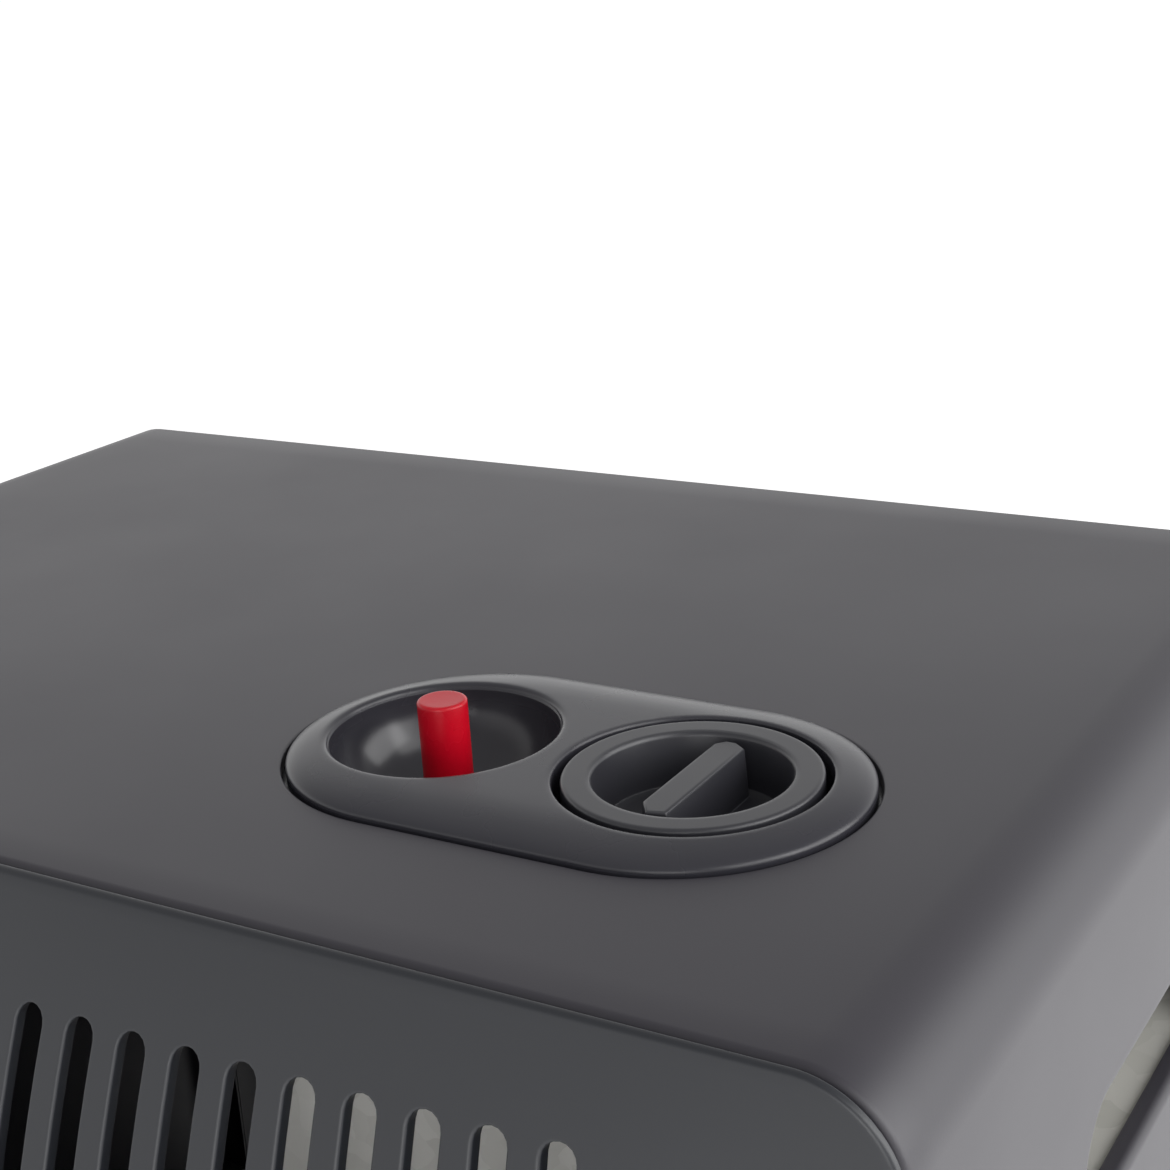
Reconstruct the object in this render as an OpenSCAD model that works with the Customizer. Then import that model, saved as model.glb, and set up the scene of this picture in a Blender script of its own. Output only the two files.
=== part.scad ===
// Cabinet gas heater on castors: folded steel casing, pillow-shaped slotted front,
// three ceramic burner plaques behind a wire guard, and a control panel let into the top.
// Axes: X to the right seen from the front, Y to the back, Z up, floor at Z = 0.

/* [Casing] */
// Width of the folded casing
cabinet_w = 420; // [410:1:440]
// Height of the top panel above the floor
cabinet_h = 730; // [720:1:780]
// Depth of the folded casing from the front seam to its back edge
shell_d = 282; // [278:1:300]
// Thickness of the casing sheet
sheet_t = 1.2; // [0.8:0.1:1.5]
// Outer radius of the two long top bends
bend_r = 19; // [14:1:22]
// Clearance between parts that are screwed or hung together
seat_gap = 0.3; // [0.2:0.05:0.4]

/* [Side grips] */
// Height of the opening in each side
grip_h = 26; // [22:1:30]
// Length of the opening in each side
grip_l = 100; // [80:1:110]
// Depth of the opening's centre below the top panel
grip_drop = 74.5; // [70:0.5:80]
// Distance of the opening's centre behind the front seam
grip_back = 141; // [130:1:150]
// Depth of the rolled lip around the opening
grip_lip = 5; // [3:1:8]
// Thickness of the bare steel plate behind the opening
grip_plate_t = 0.8; // [0.6:0.1:1.2]
// How far the bare plate leans inwards
grip_plate_in = 25; // [18:1:30]

/* [Front] */
// Furthest bulge of the pillow-shaped front beyond the seam
bulge = 45; // [38:1:50]
// Height over which the bulge runs out at the top
bulge_run = 160; // [150:1:170]
// Power of the curve across the front
bulge_power = 2.5; // [2:0.1:4]
// Height over which the front tucks in at the bottom
tuck_run = 100; // [80:1:110]
// Share of the bulge lost at the bottom edge
tuck = 0.35; // [0.2:0.05:0.5]
// Thickness of the front
fascia_t = 1.6; // [1.2:0.1:2]
// Gap between the front and the casing
seam_gap = 0.8; // [0.5:0.1:1.2]
// Depth of the flange that enters the casing
fascia_flange = 14; // [12:1:16]
// Number of slots in a row
slot_n = 25; // [15:2:25]
// Distance between slots
slot_pitch = 12.7; // [12:0.1:13]
// Width of a slot
slot_w = 6.4; // [5:0.1:7]
// Length of an upper slot
slot_l = 70; // [50:1:74]
// Depth of the upper slots' top ends below the top panel
slot_drop = 20.5; // [18:0.5:24]
// Length of a lower slot
low_slot_l = 44; // [30:1:50]
// Height of the lower slots' bottom ends above the floor
low_slot_z = 110; // [100:1:120]

/* [Burner window] */
// Width of the window
window_w = 330; // [320:1:336]
// Height of the window
window_h = 240; // [230:1:250]
// Depth of the window's centre below the top panel
window_drop = 260; // [250:1:270]
// Corner radius of the window
window_r = 22; // [16:1:30]
// Depth of the lip turned in around the window
window_lip = 15; // [13:1:18]

/* [Guard] */
// Wire diameter of the guard
guard_wire = 3; // [2.5:0.1:3.5]
// Distance between upright wires
guard_pitch = 25; // [22:1:30]
// How far the wires lie behind the front
guard_back = 8.5; // [8:0.5:11]
// Number of cross wires
guard_cross_n = 3; // [2:1:4]

/* [Burner] */
// Width of one ceramic plaque
plaque_w = 92; // [86:1:94]
// Height of one ceramic plaque
plaque_h = 132; // [120:1:140]
// Thickness of one ceramic plaque
plaque_t = 13; // [11:1:14]
// Distance between plaque centres
plaque_pitch = 95; // [95:1:97]
// Distance of the plaques' faces behind the front seam, negative in front of it
plaque_back = -4; // [-6:1:-3]
// Border of the pressed frame around the plaques
frame_border = 8; // [7:1:10]
// Thickness of the pressed frame
frame_t = 1.5; // [1:0.1:2]
// Depth of the gas box behind each plaque
plenum_d = 30; // [26:1:32]
// Outer radius of a mixing tube
venturi_r = 11; // [9:0.5:12]
// Outer radius of the gas rail
rail_r = 6; // [5:0.5:7]
// Distance of the gas rail below the plaques' centre
rail_drop = 120; // [118:1:125]
// Thickness of the burner's side plates
burner_side_t = 1.2; // [1:0.1:1.5]

/* [Rear] */
// Distance of the heat shield behind the front seam
shield_back = 44; // [43:1:48]
// Depth of the heat shield's top edge below the top panel
shield_drop = 125; // [122:1:140]
// Depth of the rear door
door_d = 65; // [60:1:70]
// Gap between the casing and the rear door
door_gap = 3; // [3:0.1:4]
// Depth of the rear door's top below the top panel
door_drop = 26; // [24:1:30]
// Corner radius of the rear door
door_r = 42; // [36:1:46]
// Diameter of the door's hinge pins
door_pin_d = 2.6; // [2.2:0.1:3]
// Height of one hinge
door_hinge_h = 60; // [48:3:72]
// Width of the finger hole in the rear door
pull_w = 22; // [20:1:26]
// Height of the finger hole in the rear door
pull_l = 90; // [80:1:110]

/* [Controls] */
// Distance of the knob's centre from the casing's right side
knob_in = 80; // [79:1:84]
// Distance between the igniter well and the knob
well_pitch = 60.5; // [60:0.5:62]
// Distance of both behind the front seam
control_back = 83; // [80:1:88]
// Height of the bezel's crown above the top panel
crown_h = 3.5; // [3:0.1:5]
// Radius of the bezel's ends
bezel_r = 39.3; // [38.5:0.1:41]
// Distance between the centres of the bezel's ends
bezel_l = 52; // [50:1:54]
// Distance of the knob's centre to the right of the bezel's centre
knob_off = 28.4; // [27:0.1:30]
// Height of the bezel's edge above the top panel
bezel_edge = 0.4; // [0.3:0.1:1]
// Width over which the bezel's crown rounds down to its edge
bezel_shoulder = 14; // [12:1:16]
// Wall of the moulded bezel
bezel_t = 2; // [1.6:0.1:2.4]
// Diameter of the knob's opening
knob_hole_d = 57; // [56:0.5:58]
// Diameter of the knob
knob_d = 53.5; // [52:0.5:54]
// Height of the knob's skirt
knob_h = 20; // [18:0.5:21]
// Diameter of the knob's recess
knob_recess_d = 42; // [40:0.5:44]
// Depth of the knob's recess
knob_recess = 12; // [10:0.5:13]
// Width of the knob's grip bar
knob_bar_w = 7; // [6:0.5:9]
// Length of the knob's grip bar
knob_bar_l = 37; // [34:0.5:38]
// Depth of the grip bar's top below the knob's rim
knob_bar_drop = 0.8; // [0.4:0.1:1.5]
// Travel of the knob when it is pressed
knob_travel = 5; // [4:0.5:5]
// Diameter of the knob's spindle
spindle_d = 6; // [5:0.5:7]
// Radius of the igniter well at its rim
well_r = 25.4; // [24:0.2:27]
// Depth of the igniter well
well_depth = 19; // [16:0.5:20]
// Diameter of the igniter button
button_d = 11; // [9:0.5:12]
// Height of the igniter button above the top panel
button_up = 10; // [9:0.5:14]
// Travel of the igniter button
button_travel = 8; // [6:0.5:8]
// Thickness of the control bracket
bracket_t = 1.5; // [1.2:0.1:2]
// Depth of the control bracket's plate below the top panel
bracket_drop = 34; // [33:0.5:36]

/* [Gas path] */
// Outside diameter of the burner pipe
burner_pipe_d = 8; // [6:0.5:8]
// Outside diameter of the pilot pipe
pilot_pipe_d = 4; // [3:0.5:4]
// Outside diameter of the thermocouple lead
couple_lead_d = 2.5; // [2:0.1:2.5]
// Outside diameter of the ignition lead
spark_lead_d = 3.5; // [3:0.1:3.5]
// Outside diameter of the hose tail
hose_tail_d = 8.8; // [8:0.1:9]
// Length of the hose tail's spigot
hose_tail_l = 28; // [24:1:32]

/* [Castors] */
// Diameter of a castor wheel
wheel_d = 45; // [40:1:45]
// Width of a castor wheel
wheel_w = 18; // [14:1:20]
// Height of a castor from the floor to its plate's top
castor_h = 60; // [60:1:66]
// Trail of the wheel behind its swivel axis
castor_trail = 16; // [14:1:18]
// Side of the square castor plate
castor_plate_w = 42; // [38:1:44]
// Diameter of a wheel axle
axle_d = 6; // [5:0.5:7]
// Depth of the base tray's rim
tray_rim = 18; // [14:1:20]

/* [Hidden] */

paint = [0.28, 0.28, 0.31];
galvanised = [0.66, 0.66, 0.64];
plastic_dark = [0.2, 0.2, 0.22];
steel_bright = [0.75, 0.75, 0.77];
brass_tone = [0.72, 0.58, 0.3];
copper_tone = [0.72, 0.42, 0.28];
ceramic_tone = [0.9, 0.86, 0.78];
button_red = [0.75, 0.04, 0.12];
eps = 0.01;
bore_fn = 40;
running_gap = 0.06;
moving_gap = 0.35;

half_w = cabinet_w / 2;
top_z = cabinet_h;
knob_x = half_w - knob_in;
window_z = top_z - window_drop;
rail_z = window_z - rail_drop;
shield_top = top_z - shield_drop;
face_out = bulge + fascia_t + seam_gap;
overall_d = face_out + shell_d + door_gap + door_d;
seam_y = -overall_d / 2 + face_out;
back_y = seam_y + shell_d;
inner_w = half_w - sheet_t;
under_z = top_z - sheet_t;
skirt_gap = 2;
skirt_z = castor_h + skirt_gap;

function arc(cx, cy, r, a0, a1, n) =
    [for (i = [0:n]) [cx + r * cos(a0 + (a1 - a0) * i / n), cy + r * sin(a0 + (a1 - a0) * i / n)]];
function stadium(l, r, n) = concat(arc(l / 2, 0, r, -90, 90, n), arc(-l / 2, 0, r, 90, 270, n));
function round_rect(w, h, r, n) = concat(
    arc(w / 2 - r, h / 2 - r, r, 0, 90, n), arc(-w / 2 + r, h / 2 - r, r, 90, 180, n),
    arc(-w / 2 + r, -h / 2 + r, r, 180, 270, n), arc(w / 2 - r, -h / 2 + r, r, 270, 360, n));

// A plate drawn in X and Z that is y_len deep towards the back
module upright(y0, y_len) {
    translate([0, y0 + y_len, 0]) rotate([90, 0, 0]) linear_extrude(y_len) children();
}
// A plate drawn in Y and Z that is x_len thick to the right
module side_plate(x0, x_len) {
    translate([x0, 0, 0]) rotate([90, 0, 90]) linear_extrude(x_len) children();
}
module peg(p, r, h) {
    translate(p) cylinder(r = r, h = h, $fn = bore_fn);
}
module along_y(p, r, l) {
    translate(p) rotate([-90, 0, 0]) cylinder(r = r, h = l, $fn = bore_fn);
}
module along_x(p, r, l) {
    translate(p) rotate([0, 90, 0]) cylinder(r = r, h = l, $fn = bore_fn);
}

// Round tube swept along a route whose corners are bent to a radius
sweep_ref = [0.79, 0.52, 0.33];
function unit(v) = v / norm(v);
function corner(a, p, b, r, n) = let (s = p + unit(a - p) * r, e = p + unit(b - p) * r)
    [for (i = [0:n]) let (t = i / n) (1 - t) * (1 - t) * s + 2 * t * (1 - t) * p + t * t * e];
function bent(p, r, n) = concat([p[0]],
    [for (i = [1:len(p) - 2]) each corner(p[i - 1], p[i], p[i + 1], r, n)], [p[len(p) - 1]]);
function tangent(p, i) = i == 0 ? unit(p[1] - p[0]) : i == len(p) - 1 ? unit(p[i] - p[i - 1])
    : unit(unit(p[i + 1] - p[i]) + unit(p[i] - p[i - 1]));
function ring(p, i, r, sides) = let (t = tangent(p, i), u = unit(cross(t, sweep_ref)), w = cross(t, u))
    [for (k = [0:sides - 1]) p[i] + r * (cos(360 * k / sides) * u + sin(360 * k / sides) * w)];
module sweep(p, r, sides) {
    rings = len(p);
    last = (rings - 1) * sides;
    points = [for (i = [0:rings - 1]) each ring(p, i, r, sides)];
    walls = [for (i = [0:rings - 2]) for (k = [0:sides - 1])
        let (a = i * sides + k, b = i * sides + (k + 1) % sides) each
        [[a, a + sides, b + sides], [a, b + sides, b]]];
    caps = [[for (k = [0:sides - 1]) k], [for (k = [sides - 1:-1:0]) last + k]];
    polyhedron(points, concat(walls, caps), convexity = 6);
}

// Casing
grip_y = seam_y + grip_back;
grip_z = top_z - grip_drop;
back_flange = 12;
top_flange = door_drop + 2;
back_flange_z = castor_h + tray_rim + 8;
knuckle_r = 2.4;
hinge_y = back_y + knuckle_r + seat_gap;
hinge_x = half_w - 2.8;
hinge_zs = [cabinet_h * 0.2, cabinet_h * 0.84];
control_y = seam_y + control_back;
well_x = knob_x - well_pitch;
bezel_x = knob_x - knob_off;
bezel_gap = 1;
foot_l = 10;
foot_in = 4;
bezel_flange = 6;
bracket_half = bezel_l / 2 + bezel_r + bezel_flange + foot_in;
bracket_w = 50;
stud_r = 2;
stud_l = 8;
stud_out = 6;
stud_xs = [bezel_x - bracket_half - stud_out, bezel_x + bracket_half + stud_out];
stud_ys = [control_y - bracket_w / 2 + 7, control_y + bracket_w / 2 - 7];
screw_r = 1.8;
screw_zs = [200, 560];
fascia_screw_y = seam_y + 8;
tray_screw_ys = [-100, 0, 100];
tray_screw_z = castor_h + 11;

function casing_outline(inset) = concat([[half_w - inset, skirt_z - 1], [half_w - inset, skirt_z]],
    arc(half_w - bend_r, top_z - bend_r, bend_r - inset, 0, 90, 14),
    arc(-half_w + bend_r, top_z - bend_r, bend_r - inset, 90, 180, 14),
    [[-half_w + inset, skirt_z], [-half_w + inset, skirt_z - 1]]);

module grip_hole(r, x_out, x_in) {
    for (side = [-1, 1]) side_plate(side > 0 ? x_in : -x_out, x_out - x_in)
        translate([grip_y, grip_z]) polygon(stadium(grip_l - grip_h, r, 10));
}

module cabinet_shell() {
    color(paint) difference() {
        union() {
            difference() {
                upright(seam_y, shell_d) intersection() {
                    polygon(casing_outline(0));
                    translate([-half_w, skirt_z]) square([cabinet_w, cabinet_h]);
                }
                upright(seam_y - 1, shell_d - sheet_t + 1)
                    polygon(casing_outline(sheet_t));
                upright(back_y - sheet_t - 1, sheet_t + 2)
                    translate([-inner_w + back_flange, skirt_z - 2])
                    square([2 * (inner_w - back_flange), under_z - top_flange - skirt_z + 2]);
                upright(back_y - sheet_t - 1, sheet_t + 2)
                    translate([-inner_w, skirt_z - 2]) square([2 * inner_w, back_flange_z - skirt_z + 2]);
            }
            grip_hole(grip_h / 2 + sheet_t, inner_w + eps, inner_w - grip_lip);
            for (x = stud_xs) for (y = stud_ys) peg([x, y, under_z - stud_l], stud_r, stud_l + eps);
        }
        grip_hole(grip_h / 2, half_w + 1, inner_w - grip_lip - 1);
        translate([bezel_x, control_y, under_z - 1]) linear_extrude(sheet_t + 2)
            polygon(stadium(bezel_l, bezel_r + bezel_gap, 24));
        for (z = hinge_zs) translate([inner_w - 6, back_y - sheet_t - 1, z - 2])
            cube([6 - eps, sheet_t + 2, door_hinge_h + 4]);
        for (z = screw_zs) along_x([-half_w - 1, fascia_screw_y, z], screw_r + 0.2, cabinet_w + 2);
        for (y = tray_screw_ys) along_x([-half_w - 1, y, tray_screw_z], screw_r + 0.2, cabinet_w + 2);
    }
}

// Pan-head screws through both casing sides, into the front's flange and the tray's rim
module side_screw(y, z, side) {
    head_h = 1.6;
    translate([side * half_w, y, z]) rotate([0, side * 90, 0]) {
        cylinder(r = 3.6, h = head_h, $fn = bore_fn);
        translate([0, 0, -7]) cylinder(r = screw_r, h = 7 + eps, $fn = bore_fn);
    }
}
module casing_screws() {
    color(steel_bright) for (side = [-1, 1]) {
        for (z = screw_zs) side_screw(fascia_screw_y, z, side);
        for (y = tray_screw_ys) side_screw(y, tray_screw_z, side);
    }
}

// Bare steel cups behind the side openings, folded from one strip each: a foot below the opening, a
// floor just under its lip, a back, and a slope up to a second foot, so that no one reaches or looks
// into the bottle bay through the opening
grip_plate_end = 12;
grip_plate_rise = 14;
grip_plate_foot = 12;
grip_floor_gap = 0.3;
grip_plate_l = grip_l + 2 * grip_plate_end;
module grip_plates() {
    lean_top = grip_z + grip_h / 2 + grip_plate_rise;
    lean_low = grip_z - 2;
    floor_z = grip_z - grip_h / 2 - sheet_t - grip_floor_gap;
    color(galvanised) for (side = [-1, 1]) {
        x = inner_w;
        t = grip_plate_t;
        upright(grip_y - grip_plate_l / 2, grip_plate_l) polygon([
            for (p = [[x, lean_top + grip_plate_foot], [x, lean_top], [x - grip_plate_in, lean_low],
                [x - grip_plate_in, floor_z], [x, floor_z], [x, floor_z - grip_plate_foot],
                [x - t, floor_z - grip_plate_foot], [x - t, floor_z - t],
                [x - grip_plate_in - t, floor_z - t], [x - grip_plate_in - t, lean_low + t / 2],
                [x - t, lean_top + t / 2], [x - t, lean_top + grip_plate_foot]]) [side * p[0], p[1]]]);
    }
}

// Base tray, which also carries the gas bottle
tray_t = 1.5;
tray_front = seam_y + fascia_flange + 1;
tray_narrow = 11;
tray_back_r = door_r - 2;
tray_back = back_y + door_gap + door_d - sheet_t - 6;
castor_x = half_w - castor_plate_w / 2 - 20;
castor_front = tray_front + castor_plate_w / 2 + 6;
castor_rear = tray_back - castor_plate_w / 2 - 22;
castor_places = [[-castor_x, castor_front], [castor_x, castor_front],
    [-castor_x, castor_rear], [castor_x, castor_rear]];
castor_screw_r = 1.8;
castor_screw_at = castor_plate_w / 2 - 5;

function tray_outline(inset) = let (w = inner_w - seat_gap - inset, n = half_w - tray_narrow - inset)
    concat([[-w, tray_front + inset], [w, tray_front + inset], [w, back_y - sheet_t - 2 - inset],
        [n, back_y - sheet_t - 2 - inset]],
        arc(half_w - tray_narrow - tray_back_r, tray_back - tray_back_r, tray_back_r - inset, 0, 90, 8),
        arc(-half_w + tray_narrow + tray_back_r, tray_back - tray_back_r, tray_back_r - inset, 90, 180, 8),
        [[-n, back_y - sheet_t - 2 - inset], [-w, back_y - sheet_t - 2 - inset]]);

module base_tray() {
    color(paint) difference() {
        translate([0, 0, castor_h]) linear_extrude(tray_rim) polygon(tray_outline(0));
        translate([0, 0, castor_h + tray_t]) linear_extrude(tray_rim) polygon(tray_outline(tray_t));
        for (p = castor_places) for (sx = [-1, 1]) for (sy = [-1, 1])
            peg([p[0] + sx * castor_screw_at, p[1] + sy * castor_screw_at, castor_h - 1],
                castor_screw_r + 0.2, tray_t + 2);
        for (y = tray_screw_ys) along_x([-half_w - 1, y, tray_screw_z], screw_r + 0.2, cabinet_w + 2);
    }
}

// Pillow-shaped front
fascia_bottom = skirt_z;
function bulge_down(z) = let (s = max(top_z - z, 0))
    s < bulge_run ? bulge * (1 - pow(1 - s / bulge_run, 2)) : bulge;
function tuck_in(z) = let (h = (z - fascia_bottom) / tuck_run) h < 1 ? 1 - tuck * pow(1 - h, 2) : 1;
function across(x) = 1 - pow(min(abs(x) / half_w, 1), bulge_power);
function face_y(x, z) = seam_y - seam_gap - fascia_t - bulge_down(z) * tuck_in(z) * across(x);
face_cols = 24;
face_top_rows = 8;
face_low_rows = 5;
face_zs = concat(
    [for (i = [0:face_low_rows]) fascia_bottom + tuck_run * i / face_low_rows],
    [for (i = [0:face_top_rows]) top_z - bulge_run * (1 - i / face_top_rows)]);

// Solid between the front face, moved back by shift, and a flat plane at y_flat
module pillow(shift, y_flat, grow) {
    nx = face_cols;
    nz = len(face_zs) - 1;
    xs = [for (i = [0:nx]) half_w * (-cos(180 * i / nx)) * 0.4 + half_w * (2 * i / nx - 1) * 0.6];
    zs = [for (j = [0:nz]) face_zs[j] + (j == 0 ? -grow : j == nz ? grow : 0)];
    wide = (half_w + grow) / half_w;
    row = nx + 1;
    front = [for (j = [0:nz]) for (x = xs) [x * wide, face_y(x, face_zs[j]) + shift, zs[j]]];
    flat = [for (j = [0:nz]) for (x = xs) [x * wide, y_flat, zs[j]]];
    back = len(front);
    faces = concat(
        [for (j = [0:nz - 1]) for (i = [0:nx - 1]) let (a = j * row + i) each
            [[a, a + row, a + row + 1], [a, a + row + 1, a + 1]]],
        [for (j = [0:nz - 1]) for (i = [0:nx - 1]) let (a = back + j * row + i) each
            [[a, a + row + 1, a + row], [a, a + 1, a + row + 1]]],
        [for (j = [0:nz - 1]) let (a = j * row) each
            [[a, back + a, back + a + row], [a, back + a + row, a + row]]],
        [for (j = [0:nz - 1]) let (a = j * row + nx) each
            [[a, a + row, back + a + row], [a, back + a + row, back + a]]],
        [for (i = [0:nx - 1]) [i, i + 1, back + i + 1, back + i]],
        [for (i = [0:nx - 1]) let (a = nz * row + i) [a, back + a, back + a + 1, a + 1]]);
    polyhedron(concat(front, flat), faces, convexity = 8);
}

flange_inset = sheet_t + seat_gap + 0.2;
module fascia_outline(inset) {
    bottom = fascia_bottom + inset;
    r = bend_r - inset;
    cx = half_w - bend_r;
    polygon(concat([[half_w - inset, bottom]], arc(cx, top_z - bend_r, r, 0, 90, 8),
        arc(-cx, top_z - bend_r, r, 90, 180, 8), [[-half_w + inset, bottom]]));
}
module window_outline(grow) {
    translate([0, window_z]) polygon(
        round_rect(window_w + 2 * grow, window_h + 2 * grow, window_r + grow, 5));
}
module slot_row(z0, l) {
    for (i = [-(slot_n - 1) / 2:(slot_n - 1) / 2])
        translate([i * slot_pitch, z0 + l / 2]) rotate(90) polygon(stadium(l - slot_w, slot_w / 2, 4));
}
module front_fascia() {
    front_y = seam_y - face_out;
    flange_end = seam_y + fascia_flange;
    color(paint) difference() {
        union() {
            difference() {
                intersection() {
                    pillow(0, flange_end, 0);
                    upright(front_y - 1, overall_d) fascia_outline(0);
                }
                pillow(fascia_t, flange_end + 1, 1);
            }
            intersection() {
                pillow(fascia_t / 2, flange_end, 0);
                upright(front_y, flange_end - front_y) difference() {
                    fascia_outline(flange_inset);
                    fascia_outline(flange_inset + fascia_t);
                }
            }
            difference() {
                intersection() {
                    pillow(fascia_t / 2, flange_end, 0);
                    upright(front_y, overall_d) difference() {
                        window_outline(fascia_t);
                        window_outline(0);
                    }
                }
                pillow(window_lip, flange_end + 1, 1);
            }
        }
        upright(front_y - 1, overall_d) window_outline(0);
        upright(front_y - 1, fascia_flange + bulge - 2) slot_row(top_z - slot_drop - slot_l, slot_l);
        upright(front_y - 1, fascia_flange + bulge - 2) slot_row(low_slot_z, low_slot_l);
        for (z = screw_zs) along_x([-half_w - 1, fascia_screw_y, z], screw_r + 0.2, cabinet_w + 2);
    }
}

// Wire guard inside the window's lip, bowed as the front is
module wire_guard() {
    r = guard_wire / 2;
    z0 = window_z - window_h / 2 + seat_gap;
    reach = window_h - 2 * seat_gap;
    end_reach = window_h - 2 * window_r;
    chord = window_w / 2 - seat_gap - r;
    n = floor((window_w / 2 - window_r) / guard_pitch);
    sag = bulge_down(window_z) * (across(0) - across(chord));
    bow = (chord * chord + sag * sag) / (2 * sag);
    angle = asin(chord / bow);
    y_mid = face_y(0, window_z) + guard_back;
    function wire_y(x) = y_mid + bow - sqrt(bow * bow - x * x);
    cross_gap = end_reach / (guard_cross_n + 1);
    weld = 0.4;
    cross_y = y_mid + bow + guard_wire - weld;
    color(steel_bright) union() {
        for (i = [-n:n]) peg([i * guard_pitch, wire_y(i * guard_pitch), z0], r, reach);
        for (side = [-1, 1]) peg([side * chord, wire_y(chord), window_z - end_reach / 2], r, end_reach);
        for (k = [1:guard_cross_n])
            translate([0, cross_y, window_z - end_reach / 2 + k * cross_gap])
                rotate([0, 0, 270 - angle]) rotate_extrude(angle = 2 * angle, $fn = 180)
                translate([bow, 0]) circle(r = r, $fn = 24);
    }
}

// Burner: frame with three plaques, gas boxes, mixing tubes and side plates
plaque_y = seam_y + plaque_back;
frame_w = 2 * plaque_pitch + plaque_w + 2 * frame_border;
frame_h = plaque_h + 2 * frame_border;
plenum_y = plaque_y + plaque_t + frame_t;
shield_y = seam_y + shield_back;
rail_y = plenum_y + plenum_d / 2;
side_x = frame_w / 2 + seat_gap;
frame_front = 2;
burner_rows = [-plaque_pitch, 0, plaque_pitch];

module plaque_block(grow, y0, l) {
    for (x = burner_rows) translate([x - plaque_w / 2 - grow, y0, window_z - plaque_h / 2 - grow])
        cube([plaque_w + 2 * grow, l, plaque_h + 2 * grow]);
}
module ceramic_plaques() {
    color(ceramic_tone) plaque_block(0, plaque_y, plaque_t);
}
module burner_frame() {
    color(steel_bright) difference() {
        translate([-frame_w / 2, plaque_y + frame_front, window_z - frame_h / 2])
            cube([frame_w, plaque_t - frame_front + frame_t, frame_h]);
        plaque_block(seat_gap, plaque_y, plaque_t + 0.01);
        plaque_block(-4, plaque_y, plaque_t + frame_t + 5);
    }
}
module plenum_boxes() {
    w = plaque_w - 4;
    h = plaque_h + 4;
    wall = 1;
    color(galvanised) for (x = burner_rows) difference() {
        translate([x - w / 2, plenum_y, window_z - h / 2]) cube([w, plenum_d, h]);
        translate([x - w / 2 + wall, plenum_y - 1, window_z - h / 2 + wall])
            cube([w - 2 * wall, plenum_d - wall + 1, h - 2 * wall]);
        peg([x, rail_y, window_z - h / 2 - 1], venturi_r - 1.2, wall + 2);
    }
}
venturi_top = window_z - plaque_h / 2 - 2;
injector_z = rail_z + rail_r - 1;
injector_h = 11;
module venturi_tubes() {
    mouth_z = injector_z + injector_h + 3;
    color(galvanised) for (x = burner_rows) difference() {
        union() {
            peg([x, rail_y, mouth_z], venturi_r, venturi_top - mouth_z);
            peg([x, rail_y, mouth_z], venturi_r + 2, 3);
        }
        peg([x, rail_y, mouth_z - 1], venturi_r - 1.2, venturi_top - mouth_z + 2);
    }
}
module injectors() {
    color(brass_tone) for (x = burner_rows) translate([x, rail_y, injector_z]) {
        cylinder(r = 3, h = 4, $fn = bore_fn);
        translate([0, 0, 3]) cylinder(r = 5.5, h = 4, $fn = 6);
        translate([0, 0, 6]) cylinder(r1 = 3.6, r2 = 1.6, h = injector_h - 6, $fn = bore_fn);
    }
}
rail_half = side_x + burner_side_t + 3;
side_low_z = rail_z - rail_r - 8;
module gas_rail() {
    color(brass_tone) difference() {
        along_x([-rail_half, rail_y, rail_z], rail_r, 2 * rail_half);
        for (x = burner_rows) peg([x, rail_y, injector_z - 2], 3.02, rail_r);
        along_x([rail_half - 12, rail_y, rail_z], burner_pipe_d / 2 + 0.02, 13);
    }
}
module burner_sides() {
    high = window_z + frame_h / 2;
    color(galvanised) for (side = [-1, 1]) difference() {
        union() {
            side_plate(side > 0 ? side_x : -side_x - burner_side_t, burner_side_t) polygon([
                [plaque_y + frame_front, window_z - frame_h / 2], [plaque_y + frame_front, high],
                [shield_y, high], [shield_y, side_low_z], [rail_y - rail_r - 6, side_low_z]]);
            translate([side > 0 ? side_x : -side_x - 9, shield_y - burner_side_t, side_low_z])
                cube([9, burner_side_t, 60]);
        }
        along_x([-cabinet_w / 2, rail_y, rail_z], rail_r + 0.05, cabinet_w);
    }
}

// Bright tray behind the window: a rim that meets the lip and a flat back around the plaques
pilot_x = 78;
pilot_cut = 44;
reflector_t = 0.8;
module reflector() {
    front = seam_y - face_out;
    rear = plaque_y + frame_front - seat_gap;
    cover = 4;
    color(steel_bright) difference() {
        union() {
            intersection() {
                pillow(window_lip + seat_gap, rear, 0);
                upright(front, rear - front) difference() {
                    window_outline(fascia_t);
                    window_outline(fascia_t - reflector_t);
                }
            }
            upright(rear - reflector_t, reflector_t) window_outline(fascia_t);
        }
        upright(rear - reflector_t - 1, reflector_t + 2) translate([0, window_z])
            square([frame_w - 2 * cover, frame_h - 2 * cover], center = true);
        upright(front, rear - front + 1)
            translate([pilot_x - pilot_cut / 2, window_z - window_h / 2 - fascia_t - 1])
            square([pilot_cut, (window_h - frame_h) / 2 + fascia_t + cover + 3]);
    }
}

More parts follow.
